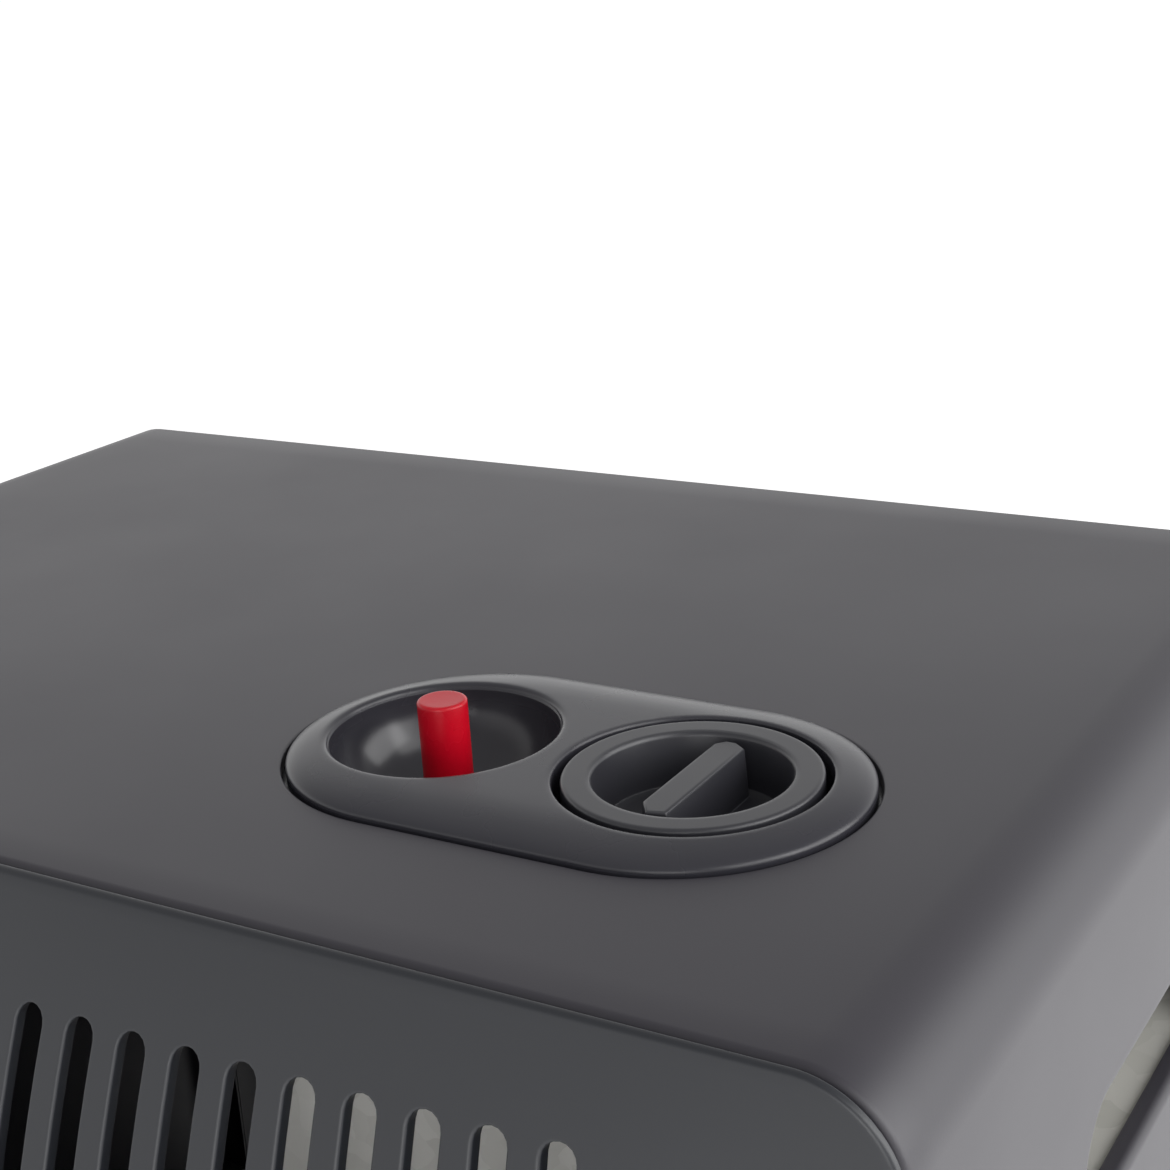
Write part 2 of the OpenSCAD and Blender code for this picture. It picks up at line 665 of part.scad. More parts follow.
// Pilot burner, probe and electrode on a small bracket at the foot of the frame
pilot_y = plaque_y - 6;
pilot_z = window_z - frame_h / 2 - 9;
pilot_xs = [pilot_x - 12, pilot_x, pilot_x + 12];
pilot_tails = [12, 8, 12];
module pilot_bracket() {
    color(steel_bright) difference() {
        union() {
            translate([pilot_x - 20, plaque_y + frame_front - 1.2, pilot_z]) cube([40, 1.2, 16]);
            translate([pilot_x - 20, pilot_y - 7, pilot_z])
                cube([40, plaque_y + frame_front - pilot_y + 7, 1.2]);
        }
        for (i = [0:2]) peg([pilot_xs[i], pilot_y, pilot_z - 1], [3.1, 4.1, 2.5][i], 4);
    }
}
module pilot_burner() {
    color(brass_tone) {
        peg([pilot_xs[1], pilot_y, pilot_z - pilot_tails[1]], 4, pilot_tails[1] + 10);
        peg([pilot_xs[1], pilot_y, pilot_z + 10 - eps], 3, 4);
        translate([pilot_xs[1], pilot_y, pilot_z + 1.3]) cylinder(r = 5.4, h = 4, $fn = 6);
    }
}
module thermocouple_probe() {
    color(copper_tone) {
        peg([pilot_xs[2], pilot_y, pilot_z - pilot_tails[2]], 2.4, pilot_tails[2] + 10);
        peg([pilot_xs[2], pilot_y, pilot_z + 10 - eps], 1.6, 10);
        translate([pilot_xs[2], pilot_y, pilot_z + 1.3]) cylinder(r = 4.2, h = 3, $fn = 6);
    }
}
module spark_electrode() {
    color(ceramic_tone) {
        peg([pilot_xs[0], pilot_y, pilot_z - pilot_tails[0]], 3, pilot_tails[0] + 12);
        peg([pilot_xs[0], pilot_y, pilot_z + 12 - eps], 0.9, 6);
        peg([pilot_xs[0], pilot_y, pilot_z + 1.3], 4, 2.5);
    }
}

// Controls under the top panel
bracket_z = top_z - bracket_drop;
crown_z = top_z + crown_h;
well_floor_z = crown_z - well_depth;
knob_floor_z = bracket_z + bracket_t + 7;
knob_low_z = crown_z - knob_h;
knob_hub_h = 2.5;
neck_nut_h = 4;
neck_top_z = bracket_z + bracket_t + neck_nut_h;
valve_top_z = bracket_z - 6;
valve_h = 38;
valve_w = 34;
valve_dy = 30;
burner_port = 28;
pilot_port = 16;
pilot_port_x = knob_x + 11;
hose_port = 20;
port_gap = 0.02;
neck_r = 7.95;
neck_hole_r = neck_r + 0.25;
plunger_top_z = valve_top_z - 14;
plunger_h = 13;
boss_x = (knob_x + well_x) / 2;
boss_dy = 29;

module control_bracket() {
    foot_top = under_z - seat_gap;
    foot_low = foot_top - bracket_t;
    foot_x = bracket_half + foot_l;
    leg_x = bracket_half + bracket_t;
    color(galvanised) difference() {
        translate([bezel_x, 0, 0]) upright(control_y - bracket_w / 2, bracket_w) polygon([
            [-foot_x, foot_top], [-foot_x, foot_low], [-leg_x, foot_low], [-leg_x, bracket_z],
            [leg_x, bracket_z], [leg_x, foot_low], [foot_x, foot_low], [foot_x, foot_top],
            [bracket_half, foot_top], [bracket_half, bracket_z + bracket_t],
            [-bracket_half, bracket_z + bracket_t], [-bracket_half, foot_top]]);
        peg([knob_x, control_y, bracket_z - 1], neck_hole_r, bracket_t + 2);
        peg([well_x, control_y, bracket_z - 1], neck_hole_r, bracket_t + 2);
        for (x = stud_xs) for (y = stud_ys)
            peg([x, y, under_z - seat_gap - bracket_t - 1], stud_r + 0.2, bracket_t + 3);
    }
}

// Mouldings of the bezel: domed crown, flange under the sheet, bowl and knob well
bezel_lip = 1.2;
function bowl_r(t) = button_d / 2 + 3.5 + (well_r - button_d / 2 - 3.5) * pow(sin(90 * t), 0.55);
bowl_steps = 8;
function bowl_profile(grow) = concat([[0, well_floor_z - grow]],
    [for (i = [0:bowl_steps]) let (t = i / bowl_steps)
        [bowl_r(t) + grow, min(well_floor_z - grow + (well_depth + grow) * pow(t, 1.15),
            crown_z - (grow > 0 ? bezel_lip : 0))]]);
module bezel_slab(r, z0, z1) {
    translate([bezel_x, control_y, z0]) linear_extrude(z1 - z0) polygon(stadium(bezel_l, r, 24));
}
module bezel_crown(z0) {
    rise = crown_h - bezel_edge;
    hull() for (a = [0:15:90]) bezel_slab(bezel_r - bezel_shoulder * (1 - cos(a)), z0,
        top_z + bezel_edge + rise * sin(a));
}
module control_bezel() {
    flange_top = under_z - 0.1;
    color(plastic_dark) difference() {
        union() {
            bezel_slab(bezel_r + bezel_flange, flange_top - bezel_t, flange_top);
            bezel_crown(flange_top - bezel_t);
            translate([well_x, control_y, 0]) rotate_extrude($fn = 96) polygon(concat(
                bowl_profile(bezel_t), [[0, crown_z - bezel_lip]]));
            translate([knob_x, control_y, knob_floor_z - bezel_t]) cylinder(
                d = knob_hole_d + 2 * bezel_t, h = crown_z - bezel_lip - knob_floor_z + bezel_t, $fn = 96);
        }
        translate([well_x, control_y, 0]) rotate_extrude($fn = 96) polygon(concat(
            bowl_profile(0), [[well_r, crown_z + 1], [0, crown_z + 1]]));
        translate([knob_x, control_y, knob_floor_z])
            cylinder(d = knob_hole_d, h = crown_z - knob_floor_z + 1, $fn = 96);
        peg([knob_x, control_y, knob_floor_z - bezel_t - 1], 8, bezel_t + 2);
        peg([well_x, control_y, well_floor_z - bezel_t - 1], button_d / 2 + 0.8, bezel_t + 2);
        for (s = [-1, 1]) translate([boss_x, control_y + s * boss_dy, flange_top - bezel_t - 1])
            cylinder(r = 1.3, h = bezel_t + 2, $fn = bore_fn);
    }
}

module control_screws() {
    color(steel_bright) for (s = [-1, 1]) {
        peg([boss_x, control_y + s * boss_dy, under_z - bezel_t - 0.1], 1.25, bezel_t);
        peg([boss_x, control_y + s * boss_dy, under_z - bezel_t - 2], 2.8, 1.9);
    }
}
module control_nuts() {
    nut_h = 3.2;
    color(brass_tone) {
        for (x = [knob_x, well_x]) translate([x, control_y, bracket_z + bracket_t]) difference() {
            cylinder(r = 11.5, h = neck_nut_h, $fn = 6);
            translate([0, 0, -1]) cylinder(r = neck_r + 0.05, h = neck_nut_h + 2, $fn = bore_fn);
        }
        for (x = stud_xs) for (y = stud_ys)
            translate([x, y, under_z - seat_gap - bracket_t - nut_h]) difference() {
                cylinder(r = 4, h = nut_h, $fn = 6);
                translate([0, 0, -1]) cylinder(r = stud_r + 0.02, h = nut_h + 2, $fn = bore_fn);
            }
    }
}

// Gas tap: die-cast block with a threaded neck, a plunger inside and the magnet below
valve_bore_r = 4.8;
module valve_body() {
    color(galvanised) difference() {
        union() {
            translate([knob_x - valve_w / 2, control_y - valve_dy / 2, valve_top_z - valve_h])
                cube([valve_w, valve_dy, valve_h]);
            peg([knob_x, control_y, valve_top_z - eps], 10.5, bracket_z - valve_top_z);
            peg([knob_x, control_y, valve_top_z - eps], neck_r, neck_top_z - valve_top_z);
        }
        peg([knob_x, control_y, plunger_top_z - plunger_h - knob_travel - 1], valve_bore_r, 80);
        along_y([knob_x, pipe_in - 1, burner_port_z], burner_pipe_d / 2 + port_gap, 9);
        along_y([pilot_port_x, pipe_in - 1, pilot_port_z], pilot_pipe_d / 2 + port_gap, 7);
        along_y([knob_x, tail_y - 8, tail_z], tail_neck_r + port_gap, 9);
    }
}
magnet_h = 30;
magnet_nut_h = 4;
magnet_z = valve_top_z - valve_h - magnet_h;
module magnet_unit() {
    color(brass_tone) difference() {
        union() {
            peg([knob_x, control_y, magnet_z + magnet_nut_h], 9, magnet_h - magnet_nut_h);
            translate([knob_x, control_y, magnet_z]) cylinder(r = 6.5, h = magnet_nut_h + 1, $fn = 6);
        }
        peg([knob_x, control_y, magnet_z - 1], couple_lead_d / 2 + port_gap, magnet_nut_h + 1);
    }
}
module valve_plunger() {
    color(brass_tone)
        peg([knob_x, control_y, plunger_top_z - plunger_h], valve_bore_r - running_gap, plunger_h);
}
spindle_low_z = plunger_top_z + moving_gap;
knob_seat_z = knob_low_z + 5;
module valve_spindle() {
    color(steel_bright) {
        peg([knob_x, control_y, spindle_low_z], valve_bore_r - moving_gap, 4);
        peg([knob_x, control_y, spindle_low_z + 4 - eps], spindle_d / 2, knob_seat_z - spindle_low_z - 4);
    }
}
module control_knob() {
    r = knob_d / 2;
    floor_z = crown_z - knob_recess;
    hub_z = knob_low_z - knob_hub_h;
    color(plastic_dark) translate([knob_x, control_y, 0]) {
        difference() {
            union() {
                rotate_extrude($fn = 96) polygon([[0, hub_z], [6, hub_z], [6, floor_z - 3],
                    [r - 2.4, floor_z - 3], [r - 2.4, knob_low_z], [r, knob_low_z], [r, crown_z - 0.8],
                    [r - 0.8, crown_z], [knob_recess_d / 2 + 0.8, crown_z],
                    [knob_recess_d / 2 - 0.8, floor_z], [0, floor_z]]);
                translate([0, 0, floor_z - eps]) linear_extrude(knob_recess - knob_bar_drop + eps) polygon([
                    [-knob_bar_w / 2, knob_bar_l / 2 - 2], [-knob_bar_w / 2, -knob_bar_l / 2 + 4],
                    [-knob_bar_w / 7, -knob_bar_l / 2], [knob_bar_w / 2, -knob_bar_l / 2 + 1],
                    [knob_bar_w / 2, knob_bar_l / 2 - 2], [knob_bar_w / 7, knob_bar_l / 2],
                    [-knob_bar_w / 4, knob_bar_l / 2]]);
            }
            translate([0, 0, hub_z - 1]) cylinder(r = spindle_d / 2 + 0.05, h = knob_seat_z - hub_z + 1.1,
                $fn = bore_fn);
        }
    }
}

// Coil springs as one unbroken wire each
function coil(r, z0, z1, wire, turns, per_turn) = [for (i = [0:turns * per_turn])
    let (t = i / (turns * per_turn), a = 360 * turns * t)
    [r * cos(a), r * sin(a), z0 + wire + (z1 - z0 - 2 * wire) * t]];
module knob_spring() {
    color(steel_bright) translate([knob_x, control_y, 0]) sweep(coil(5.6, neck_top_z + 0.1,
        knob_low_z - knob_hub_h - moving_gap, 0.5, 4, 12), 0.5, 6);
}
piezo_neck_z = bracket_z + bracket_t + 5;
button_low_z = bracket_z - 24;
button_bore_z = button_low_z - button_travel - 12;
piezo_l = 56;
piezo_tip = 6;
module piezo_body() {
    color(plastic_dark) difference() {
        union() {
            peg([well_x, control_y, bracket_z - piezo_l], 9, piezo_l - 4 + eps);
            peg([well_x, control_y, bracket_z - 4], 11, 4);
            peg([well_x, control_y, bracket_z - eps], neck_r, piezo_neck_z - bracket_z);
            peg([well_x, control_y, bracket_z - piezo_l - piezo_tip], 2.6, piezo_tip + eps);
        }
        peg([well_x, control_y, button_bore_z], button_d / 2 + moving_gap, 100);
        peg([well_x, control_y, bracket_z - piezo_l - piezo_tip - 1], spark_lead_d / 2 + port_gap, 4);
    }
}
module button_spring() {
    color(steel_bright) translate([well_x, control_y, 0]) sweep(coil(4.2, button_bore_z + 0.1,
        button_low_z - moving_gap, 0.45, 6, 12), 0.45, 6);
}
module igniter_button() {
    top = top_z + button_up;
    r = button_d / 2;
    color(button_red) translate([well_x, control_y, 0]) rotate_extrude($fn = 64) polygon([
        [0, button_low_z], [r, button_low_z], [r, top - 0.6], [r - 0.6, top], [0, top]]);
}

// Bare plate between the controls and the hot front, seen through the right-hand slots
cover_back = 27;
cover_h = 66;
cover_left = 74;
cover_drop = 20;
cover_return = 18;
module valve_cover() {
    x0 = knob_x - cover_left;
    z0 = top_z - cover_drop - cover_h;
    cover_y = seam_y + cover_back;
    color(galvanised) {
        translate([x0, cover_y, z0]) cube([inner_w - seat_gap - x0, 1, cover_h]);
        translate([inner_w - seat_gap - 1, cover_y, z0]) cube([1, cover_return, cover_h]);
    }
}

// Brass hose tail at the back of the tap, where the gas hose pushes on
tail_z = valve_top_z - hose_port;
tail_neck_r = 3;
tail_y = control_y + valve_dy / 2;
tail_hex = 7;
module hose_tail() {
    r = hose_tail_d / 2;
    spigot_y = tail_y + tail_hex;
    color(brass_tone) difference() {
        union() {
            along_y([knob_x, tail_y - 7, tail_z], tail_neck_r, 8);
            translate([knob_x, tail_y, tail_z]) rotate([-90, 0, 0]) cylinder(r = 9, h = tail_hex, $fn = 6);
            along_y([knob_x, spigot_y - eps, tail_z], r, hose_tail_l);
        }
        for (i = [1:3]) translate([knob_x, spigot_y + hose_tail_l - 4 - 5 * (i - 1), tail_z])
            rotate([-90, 0, 0]) difference() {
                cylinder(r = r + 1, h = 1.2, $fn = bore_fn);
                translate([0, 0, -1]) cylinder(r = r - 0.5, h = 4, $fn = bore_fn);
            }
        along_y([knob_x, tail_y - 8, tail_z], 2, hose_tail_l + tail_hex + 10);
    }
}

// Pipes and leads from the controls down to the burner
pipe_in = control_y - valve_dy / 2;
burner_pipe_x = rail_half + 10;
couple_x = burner_pipe_x + 8;
pilot_pipe_x = couple_x + 9;
spark_y = rail_y - 10;
over_z = shield_top + 12;
burner_port_z = valve_top_z - burner_port;
burner_route = [[knob_x, pipe_in + 7, burner_port_z], [knob_x, pipe_in - 14, burner_port_z],
    [knob_x, pipe_in - 14, over_z + 8], [burner_pipe_x, rail_y, over_z - 18],
    [burner_pipe_x, rail_y, rail_z],
    [rail_half - 11, rail_y, rail_z]];
lead_gap = 1;
couple_low_z = side_low_z - couple_lead_d / 2 - lead_gap;
spark_low_z = couple_low_z - (couple_lead_d + spark_lead_d) / 2 - lead_gap;
pilot_low_z = spark_low_z - (spark_lead_d + pilot_pipe_d) / 2 - lead_gap;
pilot_port_z = valve_top_z - pilot_port;
pilot_route = [[pilot_port_x, pipe_in + 5, pilot_port_z], [pilot_port_x, pipe_in - 22, pilot_port_z],
    [pilot_port_x + 3, pipe_in - 22, over_z + 14], [pilot_pipe_x, rail_y, over_z - 6],
    [pilot_pipe_x, rail_y, pilot_low_z], [pilot_xs[1], rail_y, pilot_low_z],
    [pilot_xs[1], pilot_y, pilot_low_z], [pilot_xs[1], pilot_y, pilot_z - pilot_tails[1]]];
couple_route = [[knob_x, control_y, magnet_z + magnet_nut_h], [knob_x, control_y, over_z - 4],
    [couple_x - 8, rail_y + 22, over_z - 3], [couple_x, rail_y, over_z - 12],
    [couple_x, rail_y, couple_low_z], [pilot_xs[2], rail_y, couple_low_z],
    [pilot_xs[2], pilot_y, couple_low_z], [pilot_xs[2], pilot_y, pilot_z - pilot_tails[2]]];
spark_route = [[well_x, control_y, bracket_z - piezo_l - piezo_tip + 3], [well_x, control_y, over_z + 2],
    [well_x + 10, spark_y, over_z + 2], [couple_x, spark_y, over_z - 40],
    [couple_x, spark_y, spark_low_z], [pilot_xs[0], spark_y, spark_low_z],
    [pilot_xs[0], pilot_y, spark_low_z], [pilot_xs[0], pilot_y, pilot_z - pilot_tails[0]]];
module burner_pipe() {
    color(copper_tone) sweep(bent(burner_route, 9, 4), burner_pipe_d / 2, 10);
}
module pilot_pipe() {
    color(copper_tone) sweep(bent(pilot_route, 7, 4), pilot_pipe_d / 2, 8);
}
module thermocouple_lead() {
    color(copper_tone) sweep(bent(couple_route, 6, 4), couple_lead_d / 2, 8);
}
module ignition_lead() {
    color(button_red) sweep(bent(spark_route, 7, 4), spark_lead_d / 2, 8);
}
module pipe_clip() {
    z = window_z + 35;
    x0 = burner_pipe_x - 7;
    x1 = pilot_pipe_x + 6;
    color(galvanised) difference() {
        union() {
            translate([x0, spark_y - 6, z]) cube([x1 - x0, shield_y - spark_y + 6, 1.2]);
            translate([x0, shield_y - 1.2, z]) cube([x1 - x0, 1.2, 14]);
        }
        peg([burner_pipe_x, rail_y, z - 1], burner_pipe_d / 2 + seat_gap, 4);
        peg([couple_x, rail_y, z - 1], couple_lead_d / 2 + seat_gap, 4);
        peg([pilot_pipe_x, rail_y, z - 1], pilot_pipe_d / 2 + seat_gap, 4);
        peg([couple_x, spark_y, z - 1], spark_lead_d / 2 + seat_gap, 4);
    }
}

// Upright shield between the burner and the bottle bay
module heat_shield() {
    z0 = castor_h + tray_t;
    color(galvanised) difference() {
        union() {
            translate([-inner_w + seat_gap, shield_y, z0])
                cube([2 * (inner_w - seat_gap), 1, shield_top - z0]);
            for (side = [-1, 1]) translate([side > 0 ? inner_w - seat_gap - 1 : -inner_w + seat_gap,
                shield_y, z0 + tray_rim + 2]) cube([1, 14, shield_top - z0 - tray_rim - 2]);
        }
        for (side = [-1, 1])
            translate([side > 0 ? inner_w - tray_t - 1 : -inner_w - 1, shield_y - 1, z0 - 1])
            cube([tray_t + 2, 3, tray_rim + 2]);
    }
}

// Rear door on two pin hinges, with air slots and a magnetic catch
door_side = half_w - 0.8;
door_front = back_y + door_gap;
door_back = door_front + door_d;
door_low = castor_h + 6;
door_top = top_z - door_drop;
door_lip = 7;
function door_outline(inset) = concat(
    [[door_side - inset, door_front - (inset > 0 ? 1 : 0)]],
    arc(door_side - door_r, door_back - door_r, door_r - inset, 0, 90, 10),
    arc(-door_side + door_r, door_back - door_r, door_r - inset, 90, 180, 10),
    [[-door_side + inset, door_front - (inset > 0 ? 1 : 0)]]);
module rear_door() {
    slot_zs = [for (k = [0:6]) k * 14];
    color(paint) difference() {
        union() {
            difference() {
                translate([0, 0, door_low]) linear_extrude(door_top - door_low) polygon(door_outline(0));
                translate([0, 0, door_low - 1]) linear_extrude(door_top - door_low - sheet_t + 1)
                    polygon(door_outline(sheet_t));
            }
            translate([-door_side + eps, door_front, door_low + tray_rim + 10])
                cube([door_lip + sheet_t, sheet_t, door_top - door_low - tray_rim - 20]);
        }
        for (z = hinge_zs) translate([door_side - 8, door_front - 1, z - 2])
            cube([9, 5, door_hinge_h + 4]);
        for (x = [-75, 75]) for (z = slot_zs) for (base = [door_low + 34, door_top - 140])
            upright(door_back - 12, 14) translate([x, base + z]) polygon(stadium(94, 3, 5));
        upright(door_back - 12, 14) translate([-door_side + door_r + 20, catch_z]) rotate(90)
            polygon(stadium(pull_l - pull_w, pull_w / 2, 8));
    }
}
module hinge_leaf(z0, l, x0, y0, y1) {
    difference() {
        union() {
            peg([hinge_x, hinge_y, z0], knuckle_r, l);
            translate([x0, min(y0, y1), z0]) cube([leaf_t, abs(y1 - y0), l]);
        }
        peg([hinge_x, hinge_y, z0 - 1], door_pin_d / 2 + running_gap, l + 2);
    }
}
third = door_hinge_h / 3;
leaf_w = 20;
leaf_t = 1.2;
module hinge_leaves_fixed() {
    color(steel_bright) for (z = hinge_zs) {
        hinge_leaf(z, third, inner_w - leaf_t, hinge_y, hinge_y - leaf_w);
        hinge_leaf(z + 2 * third, third, inner_w - leaf_t, hinge_y, hinge_y - leaf_w);
    }
}
module hinge_leaves_door() {
    color(steel_bright) for (z = hinge_zs)
        hinge_leaf(z + third + moving_gap, third - 2 * moving_gap, door_side - sheet_t - leaf_t,
            hinge_y, hinge_y + leaf_w - 2);
}
module hinge_pins() {
    color(steel_bright) for (z = hinge_zs) {
        peg([hinge_x, hinge_y, z - 1], door_pin_d / 2, door_hinge_h + 2);
        peg([hinge_x, hinge_y, z + door_hinge_h + eps], knuckle_r - 0.2, 1.4);
    }
}
catch_z = (castor_h + cabinet_h) / 2;
module door_magnet() {
    color(plastic_dark) translate([-inner_w, back_y - sheet_t - 16, catch_z - 20])
        cube([10, 16, 40]);
}
module door_strike() {
    color(steel_bright) translate([-door_side + sheet_t, door_front + sheet_t, catch_z - 15])
        cube([door_lip - 1, 1.2, 30]);
}

// Castors
plate_t = 2.5;
race_h = 4;
race_z = castor_h - plate_t - race_h;
fork_top_t = 3.4;
fork_z = race_z - moving_gap - fork_top_t;
stud_head_h = 2.4;
fork_half = wheel_w / 2 + 1.2;
cheek_t = 2.2;
axle_z = wheel_d / 2;
castor_stud_r = 4;
module castor_plates() {
    color(galvanised) for (p = castor_places) translate([p[0], p[1], 0]) difference() {
        union() {
            translate([-castor_plate_w / 2, -castor_plate_w / 2, castor_h - plate_t])
                cube([castor_plate_w, castor_plate_w, plate_t]);
            peg([0, 0, race_z], 15, race_h + eps);
            peg([0, 0, fork_z - moving_gap - eps], castor_stud_r, race_z - fork_z + moving_gap + 2 * eps);
            peg([0, 0, fork_z - moving_gap - stud_head_h], 6, stud_head_h);
        }
        for (sx = [-1, 1]) for (sy = [-1, 1])
            peg([sx * castor_screw_at, sy * castor_screw_at, castor_h - plate_t - 1],
                castor_screw_r + 0.2, plate_t + 2);
    }
}
module castor_screws() {
    color(steel_bright) for (p = castor_places) for (sx = [-1, 1]) for (sy = [-1, 1])
        translate([p[0] + sx * castor_screw_at, p[1] + sy * castor_screw_at, castor_h - plate_t]) {
            translate([0, 0, -1.4]) cylinder(r = 3, h = 1.4, $fn = bore_fn);
            translate([0, 0, -eps]) cylinder(r = castor_screw_r, h = plate_t + tray_t + 2, $fn = bore_fn);
        }
}
module castor_fork(i) {
    p = castor_places[i];
    reach = fork_half + cheek_t;
    color(plastic_dark) translate([p[0], p[1], 0]) difference() {
        union() {
            peg([0, 0, fork_z], 16, fork_top_t);
            for (side = [-1, 1]) side_plate(side > 0 ? fork_half : -fork_half - cheek_t, cheek_t)
                polygon(concat([[-9, fork_z + fork_top_t], [-8, fork_z - 3]],
                    arc(castor_trail, axle_z, axle_d / 2 + 4, 190, 360, 8),
                    [[castor_trail - 2, fork_z - 2], [11, fork_z + fork_top_t]]));
        }
        peg([0, 0, fork_z - 1], castor_stud_r + running_gap, fork_top_t + 2);
        along_x([-reach - 1, castor_trail, axle_z], axle_d / 2 + 0.05, 2 * reach + 2);
    }
}
module castor_axle(i) {
    p = castor_places[i];
    reach = fork_half + cheek_t;
    color(steel_bright) translate([p[0], p[1] + castor_trail, axle_z]) {
        along_x([-reach, 0, 0], axle_d / 2, 2 * reach);
        for (side = [-1, 1]) along_x([side > 0 ? reach : -reach - 1.2, 0, 0], axle_d / 2 + 1.4, 1.2);
    }
}
module castor_wheel(i) {
    p = castor_places[i];
    r = wheel_d / 2;
    w = wheel_w / 2;
    color(plastic_dark) translate([p[0], p[1] + castor_trail, axle_z]) rotate([0, 90, 0])
        rotate_extrude($fn = 96) polygon([[axle_d / 2 + running_gap, -w], [8, -w], [9, -w + 3],
            [r - 5, -w + 3], [r - 4, -w + 0.8], [r - 1.5, -w + 0.8], [r, -w + 3], [r, w - 3],
            [r - 1.5, w - 0.8], [r - 4, w - 0.8], [r - 5, w - 3], [9, w - 3], [8, w],
            [axle_d / 2 + running_gap, w]]);
}

cabinet_shell();
base_tray();
front_fascia();
heat_shield();
control_bracket();
control_bezel();
control_screws();
control_nuts();
valve_body();
magnet_unit();
valve_cover();
hose_tail();
knob_spring();
piezo_body();
button_spring();
grip_plates();
burner_sides();
burner_frame();
ceramic_plaques();
plenum_boxes();
venturi_tubes();
gas_rail();
injectors();
reflector();
wire_guard();
pilot_bracket();
pilot_burner();
thermocouple_probe();
spark_electrode();
thermocouple_lead();
ignition_lead();
burner_pipe();
pilot_pipe();
pipe_clip();
hinge_leaves_fixed();
hinge_pins();
door_magnet();
casing_screws();
castor_plates();
castor_screws();
rear_door();
hinge_leaves_door();
door_strike();
valve_plunger();
valve_spindle();
control_knob();
igniter_button();
castor_fork(0);  // castor_fork_fl
castor_fork(1);  // castor_fork_fr
castor_fork(2);  // castor_fork_rl
castor_fork(3);  // castor_fork_rr
castor_wheel(0);  // castor_wheel_fl
castor_wheel(1);  // castor_wheel_fr
castor_wheel(2);  // castor_wheel_rl
castor_wheel(3);  // castor_wheel_rr
castor_axle(0);  // castor_axle_fl
castor_axle(1);  // castor_axle_fr
castor_axle(2);  // castor_axle_rl
castor_axle(3);  // castor_axle_rr
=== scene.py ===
from collections import namedtuple
from math import atan2, ceil, copysign, cos, dist, hypot, pi, radians, sin, sqrt
import bmesh
import bpy
from mathutils import Matrix, Vector
from mathutils.geometry import delaunay_2d_cdt


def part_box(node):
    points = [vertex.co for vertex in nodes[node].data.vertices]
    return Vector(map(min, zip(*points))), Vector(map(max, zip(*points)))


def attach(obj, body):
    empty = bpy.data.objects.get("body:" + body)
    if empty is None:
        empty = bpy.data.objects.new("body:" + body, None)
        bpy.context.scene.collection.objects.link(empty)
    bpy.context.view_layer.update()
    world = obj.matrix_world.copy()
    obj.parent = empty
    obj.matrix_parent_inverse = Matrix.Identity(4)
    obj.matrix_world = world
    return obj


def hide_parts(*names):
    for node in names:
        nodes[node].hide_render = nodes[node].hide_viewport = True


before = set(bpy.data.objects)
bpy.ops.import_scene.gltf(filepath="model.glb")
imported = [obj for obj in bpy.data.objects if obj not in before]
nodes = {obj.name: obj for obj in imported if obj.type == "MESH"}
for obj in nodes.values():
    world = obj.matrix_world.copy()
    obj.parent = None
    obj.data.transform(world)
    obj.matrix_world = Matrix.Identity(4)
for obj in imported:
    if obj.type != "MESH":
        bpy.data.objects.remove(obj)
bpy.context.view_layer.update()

# Camera: the photograph looks down on the front right corner of the top,
# from a little above the heater, through a short telephoto lens.


def place_object(name, data):
    made = bpy.data.objects.new(name, data)
    bpy.context.scene.collection.objects.link(made)
    return made


camera_place = Vector((0.3092, -0.3923, 0.9001))
camera_right = Vector((0.8583, 0.5094, -0.0618)).normalized()
camera_up = Vector((-0.1140, 0.3068, 0.9449)).normalized()
camera = place_object("camera", bpy.data.cameras.new("camera"))
camera.data.sensor_width = 36
camera.data.lens = 61.8
camera.data.clip_start = 0.01
camera_turn = Matrix((camera_right, camera_up, camera_right.cross(camera_up))).transposed()
camera.matrix_world = Matrix.Translation(camera_place) @ camera_turn.to_4x4()
bpy.context.scene.camera = camera
bpy.context.scene.view_settings.view_transform = "Standard"

# Studio: a wide pale floor, soft light from all round and three large soft lamps at the
# heater's right and front. The floor is white to the eye and keeps the heater's shadow.


def add_node(tree, kind, inputs=None, **settings):
    made = tree.nodes.new(kind)
    for key, value in settings.items():
        setattr(made, key, value)
    for key, value in (inputs or {}).items():
        if isinstance(value, bpy.types.NodeSocket):
            tree.links.new(value, made.inputs[key])
        else:
            made.inputs[key].default_value = value
    return made


def value_of(tree, kind, inputs=None, **settings):
    outputs = add_node(tree, kind, inputs, **settings).outputs
    return outputs["Result"] if kind == "ShaderNodeMix" else outputs[0]


def maths(tree, operation, a, b=0, **settings):
    return value_of(tree, "ShaderNodeMath", {0: a, 1: b}, operation=operation, **settings)


def mapped(tree, value, low, high, to_low=0, to_high=1):
    return value_of(tree, "ShaderNodeMapRange", {
        "Value": value, "From Min": low, "From Max": high, "To Min": to_low, "To Max": to_high})


def ray_kind(tree, *kinds):
    path = add_node(tree, "ShaderNodeLightPath").outputs
    share = path[kinds[0]]
    for kind in kinds[1:]:
        share = maths(tree, "ADD", share, path[kind], use_clamp=True)
    return share


room_level = 0.53
wall_low, wall_high = 0.18, 0.56
wall_bright, wall_fade = 1.30, 0.50
lamps = [("high_lamp", (1.9, -0.5, 1.9), 1.6, 22),
         ("side_lamp", (2.1, 0.7, 1.25), 2.1, 44),
         ("front_lamp", (0.9, -2.6, 0.75), 1.4, 20)]
lamp_target = Vector((0, 0, 0.5))
floor_half = 40
floor_colour = (0.78, 0.78, 0.78, 1)
floor_rough = 0.9
floor_lift = 0.62

